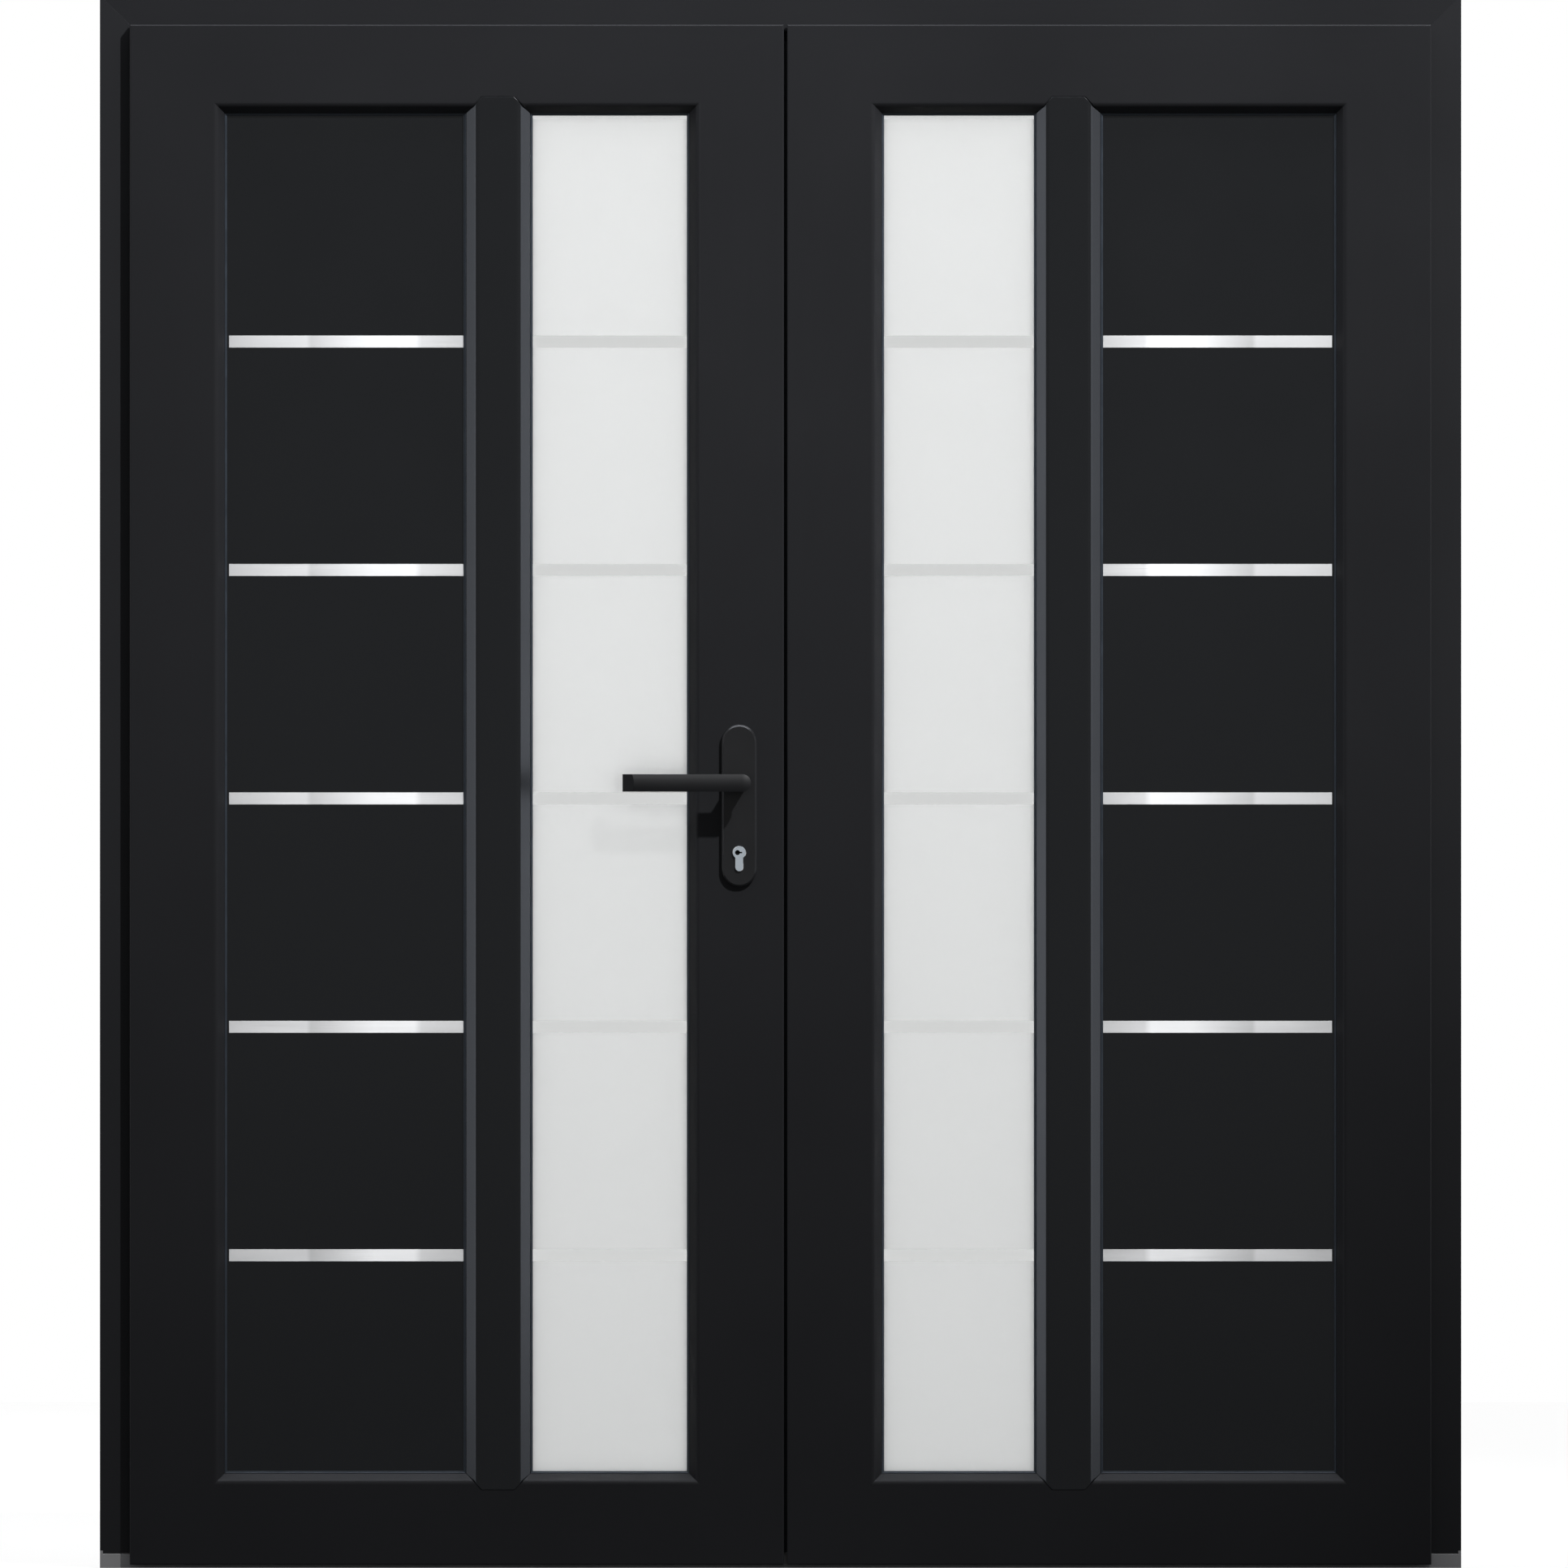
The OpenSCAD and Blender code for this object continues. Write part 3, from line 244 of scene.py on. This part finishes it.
def satin_plastic(name, colour, grain, along, roughness=0.34):
    """Extruded plastic: fine grain, faint drawing lines along the length and soft patches of gloss."""
    m = Nodes(name)
    lines = m.noise(1.0, 2.0, 0.5, m.scaled(tuple(8.0 if axis == along else 900.0 for axis in range(3))))
    patches = m.noise(2.3, 3.0, 0.5)
    fine = m.noise(1.0 / grain, 2.0, 0.6)
    gloss = m.ramp(patches, roughness - 0.04, roughness + 0.04)
    m.set(
        Base_Color=m.mix(m.ramp(patches, 0.0, 1.0), tone(colour, 0.93), tone(colour, 1.07)),
        Roughness=m.math("ADD", gloss, m.ramp(lines, -0.02, 0.02)),
        Normal=m.bump(lines, 0.05, 0.0001, m.bump(fine, 0.12, 0.00012)),
        Specular_IOR_Level=0.2,
    )
    return m.material


def smooth_panel(name, colour):
    """Smooth sheet of the panels, with a very slight unevenness."""
    m = Nodes(name)
    patches = m.noise(1.7, 2.0, 0.5)
    m.set(
        Base_Color=m.mix(m.ramp(patches, 0.0, 1.0), tone(colour, 0.97), tone(colour, 1.03)),
        Roughness=m.ramp(m.noise(5.0, 3.0), 0.2, 0.24),
        Normal=m.bump(m.noise(700.0, 2.0), 0.06, 0.0001),
        Specular_IOR_Level=1.0,
        Specular_Tint=(0.92, 0.96, 1.0, 1.0),
    )
    return m.material


def rubber(name, colour, roughness, gloss):
    """Soft black rubber with a dusty bloom."""
    m = Nodes(name)
    bloom = m.noise(60.0, 4.0, 0.6)
    m.set(
        Base_Color=m.mix(m.ramp(bloom, 0.0, 1.0), tone(colour, 0.8), tone(colour, 1.25)),
        Roughness=m.ramp(bloom, roughness - 0.05, roughness + 0.05),
        Normal=m.bump(m.noise(1500.0, 2.0), 0.15, 0.0001),
        Specular_IOR_Level=gloss,
        Specular_Tint=(0.84, 0.92, 1.0, 1.0),
    )
    return m.material


def metal(name, colour, roughness, along=None, fineness=1400.0, metallic=1.0):
    """Metal with brushing along one axis, or a fine even texture."""
    m = Nodes(name)
    stretch = tuple(6.0 if axis == along else fineness for axis in range(3))
    brush = m.noise(1.0, 3.0, 0.6, m.scaled(stretch))
    cloud = m.noise(14.0, 3.0)
    gloss = m.ramp(brush, roughness - 0.06, roughness + 0.06)
    m.set(
        Base_Color=m.mix(m.ramp(cloud, 0.0, 1.0), tone(colour, 0.93), tone(colour, 1.05)),
        Roughness=m.math("ADD", gloss, m.ramp(cloud, -0.03, 0.03)),
        Normal=m.bump(brush, 0.08, 0.00005),
        Metallic=metallic,
    )
    return m.material


def keyed(name, colour, face):
    """Satin nickel of a plug, with painted shade down the keyway behind its face."""
    m = Nodes(name)
    deep = m.math("ABSOLUTE", m.math("SUBTRACT", m.split()["Y"], face))
    # Painted shade: the colour turns near black down the keyway, where shade falls.
    keyway_shade = m.ramp(deep, 0.0, 1.0, 0.0003, 0.0016)
    brush = m.noise(900.0, 3.0, 0.6)
    m.set(
        Base_Color=m.mix(keyway_shade, colour, (0.012, 0.012, 0.013)),
        Roughness=m.ramp(brush, 0.3, 0.42),
        Normal=m.bump(brush, 0.08, 0.00005),
        Metallic=0.45,
    )
    return m.material


def painted(name, colour, roughness, gloss):
    """Satin powder coat with a slight orange peel."""
    m = Nodes(name)
    peel = m.noise(420.0, 2.0, 0.5)
    wear = m.noise(9.0, 4.0, 0.6)
    m.set(
        Base_Color=m.mix(m.ramp(wear, 0.0, 1.0), tone(colour, 0.92), tone(colour, 1.1)),
        Roughness=m.ramp(wear, roughness - 0.03, roughness + 0.03),
        Normal=m.bump(peel, 0.1, 0.00015),
        Specular_IOR_Level=gloss,
    )
    return m.material


def strip_with_painted_reflection(name, colour, start, stop):
    """Polished steel strip with a painted reflection: bright and dull bands painted into its colour between
    its hinge end and its other end.
    """
    m = Nodes(name)
    along = m.ramp(m.split()["X"], 0.0, 1.0, start, stop)
    # Painted reflection: bright and dull bands along the strip stand in for the light it would mirror.
    painted_reflection = m.add("ShaderNodeValToRGB")
    m.put(along, painted_reflection.inputs["Fac"])
    painted_reflection_stops = (
        (0.0, 0.25), (0.33, 0.5), (0.35, 0.2), (0.62, 0.95), (0.79, 1.0), (0.82, 0.5), (1.0, 0.22),
    )
    for place, _ in painted_reflection_stops[1:-1]:
        painted_reflection.color_ramp.elements.new(place)
    for stop_at, (place, light) in zip(painted_reflection.color_ramp.elements, painted_reflection_stops):
        stop_at.position = place
        stop_at.color = (light, light, light, 1.0)
    reflection_wave = m.noise(1.0, 1.0, 0.4, m.scaled((9.0, 0.0, 0.6)))
    brush = m.noise(1.0, 3.0, 0.6, m.scaled((10.0, 1600.0, 1600.0)))
    # The painted reflection, with a slight ripple, sets how light the strip's colour is.
    light = m.math("ADD", painted_reflection.outputs["Color"], m.ramp(reflection_wave, -0.08, 0.08))
    m.set(
        Base_Color=m.mix(light, tone(colour, 0.66), tone(colour, 1.5)),
        Roughness=m.ramp(brush, 0.26, 0.4),
        Normal=m.bump(brush, 0.06, 0.00005),
        Metallic=0.1,
    )
    return m.material


def striped_glass(name, colour, first, pitch, stripe):
    """Etched pane with clear stripes left free at even heights."""
    m = Nodes(name)
    z = m.split()["Z"]
    away = m.math("PINGPONG", m.math("SUBTRACT", z, first), pitch / 2)
    frost = m.ramp(away, 0.0, 1.0, stripe / 2 - 0.0003, stripe / 2 + 0.0003)
    cloud = m.ramp(m.noise(2.0, 2.0), 0.97, 1.0)
    m.set(
        # Painted shade: the clear stripes get a darker tint than the frost, standing in for the dimmer view
        # through them.
        Base_Color=m.mix(frost, tone(colour, 0.73), m.mix(cloud, tone(colour, 0.98), colour)),
        Roughness=m.ramp(frost, 0.0, 0.62, 0.0, 1.0),
        Normal=m.bump(m.math("MULTIPLY", m.noise(1800.0, 2.0), frost), 0.1, 0.0001),
        Transmission_Weight=m.ramp(frost, 1.0, 0.98, 0.0, 1.0),
        IOR=1.45,
        Specular_IOR_Level=0.1,
    )
    return m.material


def clear_glass(name, colour):
    """Float glass with a hint of unevenness."""
    m = Nodes(name)
    m.set(
        Base_Color=m.mix(m.noise(3.0, 2.0), tone(colour, 0.995), colour),
        Roughness=m.ramp(m.noise(4.0, 2.0), 0.0, 0.012),
        IOR=1.45,
        Transmission_Weight=1.0,
        Specular_IOR_Level=0.2,
    )
    return m.material


def dress(node, material, edge=0.0, segments=2, angle=PROFILE_ANGLE):
    """Gives a solid its finish, and rounds its cut edges."""
    piece = NODES[node]
    piece.data.materials.clear()
    piece.data.materials.append(material)
    if edge > 0.0:
        weld = piece.modifiers.new("shared_edges", "WELD")
        weld.merge_threshold = WELD
        bevel = piece.modifiers.new("edges", "BEVEL")
        bevel.width = edge
        bevel.segments = segments
        bevel.limit_method = "ANGLE"
        bevel.angle_limit = math.radians(angle)
        bevel.harden_normals = True


def both(*names):
    """Node names of a piece on both leaves."""
    return [f"{leaf}_{name}" for leaf in LEAVES for name in names]


class DoorOperator:
    """Base of the operators: each one finishes one group of pieces"""

    bl_options = {"REGISTER", "UNDO"}

    def execute(self, context):
        self.build(context.scene.door_colours, context.scene.door_sizes)
        return {"FINISHED"}


class DOORS_OT_profiles(DoorOperator, bpy.types.Operator):
    """Finish frame, stiles, rails, mullions and beads"""

    bl_idname = "doors.profiles"
    bl_label = "Profiles"

    def build(self, colours, sizes):
        upright = satin_plastic("profile_upright", colours.profile, sizes.grain, 2)
        level = satin_plastic("profile_level", colours.profile, sizes.grain, 0)
        for node in both(*UPRIGHTS, "glazing_beads"):
            dress(node, upright, sizes.edge)
        # The jambs take a lighter copy of the profile black: painted light for the light they miss beside
        # the leaves.
        jamb = satin_plastic("jamb_upright_painted_light", colours.jamb, sizes.grain, 2)
        for node in ("left_jamb", "right_jamb"):
            dress(node, jamb, sizes.edge)
        for node in both(*LEVELS) + ["head"]:
            dress(node, level, sizes.edge)
        smooth = smooth_panel("mullion_black", colours.panel)
        for node in both("mullion"):
            dress(node, smooth, sizes.joint)


class DOORS_OT_threshold(DoorOperator, bpy.types.Operator):
    """Finish the threshold"""

    bl_idname = "doors.threshold"
    bl_label = "Threshold"

    def build(self, colours, sizes):
        anodised = metal("sill_aluminium", colours.sill, 0.45, 0, 900.0, 0.3)
        dress("threshold", anodised, sizes.metal_edge)


class DOORS_OT_panels(DoorOperator, bpy.types.Operator):
    """Finish the panels and their steel strips"""

    bl_idname = "doors.panels"
    bl_label = "Panels"

    def build(self, colours, sizes):
        sheet = smooth_panel("panel_black", colours.panel)
        for node in both("panel"):
            dress(node, sheet)
        for leaf in LEAVES:
            ends = [corner.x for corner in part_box(f"{leaf}_panel_strips")]
            ends.sort(key=abs, reverse=True)
            # Each leaf's strips get steel with a painted reflection along their length.
            steel = strip_with_painted_reflection(f"{leaf}_strip_steel_painted_reflection", colours.strip, *ends)
            dress(f"{leaf}_panel_strips", steel, sizes.metal_edge)


class DOORS_OT_glazing(DoorOperator, bpy.types.Operator):
    """Finish the frosted and clear panes and their spacer"""

    bl_idname = "doors.glazing"
    bl_label = "Glazing"

    def build(self, colours, sizes):
        low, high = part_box("active_panel_strips")
        first = low.z + sizes.stripe / 2
        pitch = (high.z - low.z - sizes.stripe) / (STRIPES - 1)
        frosted = striped_glass("frosted_glass", colours.frost, first, pitch, sizes.stripe)
        clear = clear_glass("clear_glass", colours.clear)
        spacer = metal("spacer_metal", colours.zinc, 0.4, 2, 700.0)
        for leaf in LEAVES:
            dress(f"{leaf}_glass_outer", frosted)
            dress(f"{leaf}_glass_inner", clear)
            dress(f"{leaf}_glass_spacer", spacer)


class DOORS_OT_seals(DoorOperator, bpy.types.Operator):
    """Finish gaskets and seals"""

    bl_idname = "doors.seals"
    bl_label = "Seals"

    def build(self, colours, sizes):
        # The gasket rubber is a lighter, bluer copy of the seal rubber: partly painted sheen on the lips.
        lip = rubber("gasket_rubber_painted_sheen", colours.gasket, 0.33, 0.9)
        for node in both("glazing_gaskets"):
            dress(node, lip, sizes.gasket_edge, 3)
        soft = rubber("seal_rubber", colours.rubber, 0.56, 0.5)
        for node in both("leaf_seal", "meeting_seal") + ["frame_seal"]:
            dress(node, soft)


class DOORS_OT_hinges(DoorOperator, bpy.types.Operator):
    """Finish hinge plates, pins and screws"""

    bl_idname = "doors.hinges"
    bl_label = "Hinges"

    def build(self, colours, sizes):
        zinc = metal("hardware_zinc", colours.zinc, 0.42)
        steel = metal("hinge_steel", colours.steel, 0.3, 2)
        for node in both("hinge_plates") + ["hinge_frame_plates"]:
            dress(node, zinc)
        for node in both("hinge_screws") + ["hinge_pins", "hinge_frame_screws"]:
            dress(node, steel)


class DOORS_OT_lock(DoorOperator, bpy.types.Operator):
    """Finish lock, key cylinder, strike plate and flush bolts"""

    bl_idname = "doors.lock"
    bl_label = "Lock"

    def build(self, colours, sizes):
        steel = metal("hardware_steel", colours.steel, 0.32, 2)
        zinc = metal("lock_zinc", colours.zinc, 0.45)
        nickel = metal("cylinder_nickel", colours.nickel, 0.35, None, 900.0, 0.45)
        for node in ("lock_faceplate", "strike_plate", "flush_bolt_plates", "latch_bolt", "dead_bolt",
                     "upper_flush_bolt", "lower_flush_bolt", "spindle", "backplate_screws"):
            dress(node, steel)
        for node in ("lock_case", "lock_follower", "head_keep"):
            dress(node, zinc)
        dress("cylinder_body", nickel, sizes.metal_edge, angle=FITTING_ANGLE)
        for node, front in (("outer_plug", 0), ("inner_plug", 1)):
            plug = keyed(f"{node}_nickel", colours.nickel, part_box(node)[front].y)
            dress(node, plug, sizes.metal_edge, angle=FITTING_ANGLE)


class DOORS_OT_handle(DoorOperator, bpy.types.Operator):
    """Finish levers and backplates"""

    bl_idname = "doors.handle"
    bl_label = "Handle"

    def build(self, colours, sizes):
        bar = painted("lever_black", colours.handle, 0.53, 0.3)
        for node in ("outer_lever", "inner_lever"):
            dress(node, bar)
        plate = painted("backplate_black", colours.handle, 0.32, 0.6)
        for node in ("outer_backplate", "inner_backplate"):
            dress(node, plate, sizes.metal_edge * PLATE_EDGE, 3, PLATE_ANGLE)


def screw_head(name, radius, places, normal, body, material):
    """Flat countersunk heads with a cross recess, joined as one piece, on the points of a plate."""
    mesh = bmesh.new()
    turn = Vector((0, 0, 1)).rotation_difference(Vector(normal)).to_matrix().to_4x4()
    arm, slit, deep, proud = radius * 0.62, radius * 0.15, radius * 0.3, radius * 0.06
    cross = [(arm, -slit), (arm, slit), (slit, slit), (slit, arm), (-slit, arm), (-slit, slit),
             (-arm, slit), (-arm, -slit), (-slit, -slit), (-slit, -arm), (slit, -arm), (slit, -slit)]
    for place in places:
        spot = Matrix.Translation(place) @ turn

        def ring(points, height):
            return [mesh.verts.new(spot @ Vector((x, y, height))) for x, y in points]

        def circle(r, height):
            steps = (2 * math.pi * i / HEAD_SIDES for i in range(HEAD_SIDES))
            return ring([(r * math.cos(a), r * math.sin(a)) for a in steps], height)

        def wall(a, b):
            for i in range(len(a)):
                j = (i + 1) % len(a)
                mesh.faces.new((a[i], a[j], b[j], b[i]))

        foot = circle(radius, -radius * 0.1)
        rim = circle(radius, proud * 0.5)
        top = circle(radius * 0.94, proud)
        mouth = ring(cross, proud)
        floor = ring(cross, proud - deep)
        wall(foot, rim)
        wall(rim, top)
        wall(mouth, floor)
        mesh.faces.new(floor)
        mesh.faces.new(list(reversed(foot)))
        edges = [
            mesh.edges.get((loop[i], loop[(i + 1) % len(loop)]))
            for loop in (top, mouth) for i in range(len(loop))
        ]
        bmesh.ops.triangle_fill(mesh, use_beauty=True, edges=edges)
    bmesh.ops.recalc_face_normals(mesh, faces=mesh.faces)
    data = bpy.data.meshes.new(name)
    mesh.to_mesh(data)
    mesh.free()
    piece = bpy.data.objects.new(name, data)
    bpy.context.scene.collection.objects.link(piece)
    data.materials.append(material)
    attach(piece, body)


class DOORS_OT_screws(DoorOperator, bpy.types.Operator):
    """Set the small screws of faceplate, strike plate, bolt plates and keep"""

    bl_idname = "doors.screws"
    bl_label = "Screws"

    def build(self, colours, sizes):
        steel = metal("screw_steel", colours.steel, 0.3)
        low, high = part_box("lock_faceplate")
        y = (low.y + high.y) / 2
        heights = (low.z + PLATE_INSET, high.z - PLATE_INSET)
        screw_head("faceplate_screws", sizes.head, [(high.x, y, z) for z in heights],
                   (1, 0, 0), "active_leaf", steel)
        low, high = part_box("strike_plate")
        y = (low.y + high.y) / 2
        heights = (low.z + STRIKE_INSET, high.z - STRIKE_INSET)
        screw_head("strike_screws", sizes.head, [(low.x, y, z) for z in heights],
                   (-1, 0, 0), "passive_leaf", steel)
        low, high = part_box("flush_bolt_plates")
        inner = BOLT_PLATE - PLATE_INSET
        heights = (low.z + PLATE_INSET, low.z + inner, high.z - inner, high.z - PLATE_INSET)
        screw_head("bolt_plate_screws", sizes.head, [(low.x, y, z) for z in heights],
                   (-1, 0, 0), "passive_leaf", steel)
        low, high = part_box("head_keep")
        across = (low.x + KEEP_INSET, high.x - KEEP_INSET)
        screw_head("keep_screws", sizes.head, [(x, y, low.z) for x in across],
                   (0, 0, -1), "frame", steel)


class DOORS_OT_stage(DoorOperator, bpy.types.Operator):
    """Make floor, light, background and camera"""

    bl_idname = "doors.stage"
    bl_label = "Stage"

    def execute(self, context):
        stage = context.scene.door_stage
        self.floor()
        self.world(context.scene, stage)
        self.lamps(stage)
        self.camera(context.scene, stage)
        context.scene.view_settings.view_transform = "Standard"
        return {"FINISHED"}

    def floor(self):
        """Large pale floor, white where the light reaches it."""
        mesh = bmesh.new()
        bmesh.ops.create_grid(mesh, x_segments=1, y_segments=1, size=FLOOR_REACH)
        data = bpy.data.meshes.new("floor")
        mesh.to_mesh(data)
        mesh.free()
        floor = bpy.data.objects.new("floor", data)
        bpy.context.scene.collection.objects.link(floor)
        m = Nodes("pale_floor")
        cloud = m.noise(1.2, 2.0)
        rays = m.add("ShaderNodeLightPath").outputs
        through = m.math("MULTIPLY", rays["Is Transmission Ray"], 0.45)
        seen = m.math("MULTIPLY", rays["Is Camera Ray"], 0.9)
        m.set(
            Base_Color=m.mix(cloud, (0.2, 0.2, 0.2), (0.22, 0.22, 0.22)),
            Roughness=0.8,
            Specular_IOR_Level=0.1,
            Emission_Color=(1.0, 1.0, 1.0, 1.0),
            Emission_Strength=m.math("MAXIMUM", seen, through),
        )
        data.materials.append(m.material)

    def world(self, scene, stage):
        """White background, darker behind the camera in reflections, and a low even light."""
        world = bpy.data.worlds.new("studio")
        scene.world = world
        world.use_nodes = True
        t = Tree(world.node_tree)
        back = t.tree.nodes["Background"]
        back.inputs["Color"].default_value = (1.0, 1.0, 1.0, 1.0)
        rays = t.add("ShaderNodeLightPath").outputs
        way = t.add("ShaderNodeSeparateXYZ")
        t.put(t.add("ShaderNodeTexCoord").outputs["Generated"], way.inputs["Vector"])
        front = t.add("ShaderNodeMapRange", interpolation_type="SMOOTHSTEP")
        t.put(way.outputs["Y"], front.inputs["Value"])
        for key, value in (("From Min", -0.1), ("From Max", 0.3), ("To Min", stage.front), ("To Max", 1.0)):
            front.inputs[key].default_value = value
        plain = t.math("MAXIMUM", rays["Is Camera Ray"], rays["Is Transmission Ray"])
        glossy = t.math("MULTIPLY", rays["Is Glossy Ray"], front.outputs["Result"])
        seen = t.math("MAXIMUM", plain, glossy)
        t.put(t.math("MAXIMUM", seen, stage.ambient), back.inputs["Strength"])

    def lamps(self, stage):
        """Key light high at the right, soft lights at the sides and above, and one for the strips only."""
        self.lamp("key", "SPOT", stage.key, KEY_PLACE, KEY_AIM,
                  shadow_soft_size=0.25, spot_size=math.radians(KEY_CONE), spot_blend=1.0)
        for name, side in (("left", -1.0), ("right", 1.0)):
            place = (side * SIDE_AWAY, SIDE_FORE, SIDE_HIGH)
            self.lamp(name, "AREA", stage.side, place, (0.0, -0.05, SIDE_HIGH),
                      shape="RECTANGLE", size=1.0, size_y=2.6, color=stage.cool)
        self.lamp("sky", "AREA", stage.sky, SKY_PLACE, SKY_AIM,
                  shape="RECTANGLE", size=3.0, size_y=0.5, color=stage.cool)
        glint = self.lamp("glint", "AREA", stage.glint, GLINT_PLACE, GLINT_AIM,
                          shape="RECTANGLE", size=3.0, size_y=3.0)
        strips = bpy.data.collections.new("strips")
        for node in both("panel_strips"):
            strips.objects.link(NODES[node])
        glint.light_linking.receiver_collection = strips

    def lamp(self, name, kind, power, place, aim, **settings):
        data = bpy.data.lights.new(name, kind)
        data.energy = power
        for key, value in settings.items():
            setattr(data, key, value)
        lamp = bpy.data.objects.new(name, data)
        bpy.context.scene.collection.objects.link(lamp)
        lamp.location = place
        lamp.rotation_euler = (Vector(aim) - Vector(place)).to_track_quat("-Z", "Y").to_euler()
        return lamp

    def camera(self, scene, stage):
        """Long lens, straight on."""
        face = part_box("active_hinge_stile")[0].y
        data = bpy.data.cameras.new("camera")
        data.sensor_width = SENSOR
        data.lens = data.sensor_width * stage.reach / stage.span
        data.clip_end = FAR
        camera = bpy.data.objects.new("camera", data)
        scene.collection.objects.link(camera)
        camera.location = (stage.aim_x, face - stage.reach, stage.aim_z)
        camera.rotation_euler = (math.pi / 2, 0.0, 0.0)
        scene.camera = camera


PIECES = (
    DOORS_OT_profiles,
    DOORS_OT_threshold,
    DOORS_OT_panels,
    DOORS_OT_glazing,
    DOORS_OT_seals,
    DOORS_OT_hinges,
    DOORS_OT_lock,
    DOORS_OT_handle,
    DOORS_OT_screws,
    DOORS_OT_stage,
)


class DOORS_PT_panel(bpy.types.Panel):
    """Pieces and settings of the doors"""

    bl_idname = "DOORS_PT_panel"
    bl_label = "French Doors"
    bl_space_type = "VIEW_3D"
    bl_region_type = "UI"
    bl_category = "Doors"

    def draw(self, context):
        for piece in PIECES:
            self.layout.operator(piece.bl_idname)
        for group in (context.scene.door_colours, context.scene.door_sizes, context.scene.door_stage):
            box = self.layout.box()
            for name in group.__annotations__:
                box.prop(group, name)


GROUPS = (("door_colours", DoorColours), ("door_sizes", DoorSizes), ("door_stage", DoorStage))


def register():
    for name, group in GROUPS:
        bpy.utils.register_class(group)
        setattr(bpy.types.Scene, name, PointerProperty(type=group))
    for piece in (*PIECES, DOORS_PT_panel):
        bpy.utils.register_class(piece)


def unregister():
    for piece in (DOORS_PT_panel, *reversed(PIECES)):
        bpy.utils.unregister_class(piece)
    for name, group in reversed(GROUPS):
        delattr(bpy.types.Scene, name)
        bpy.utils.unregister_class(group)


def main():
    register()
    bpy.ops.doors.profiles()
    bpy.ops.doors.threshold()
    bpy.ops.doors.panels()
    bpy.ops.doors.glazing()
    bpy.ops.doors.seals()
    bpy.ops.doors.hinges()
    bpy.ops.doors.lock()
    bpy.ops.doors.handle()
    bpy.ops.doors.screws()
    bpy.ops.doors.stage()


if __name__ == "__main__":
    main()
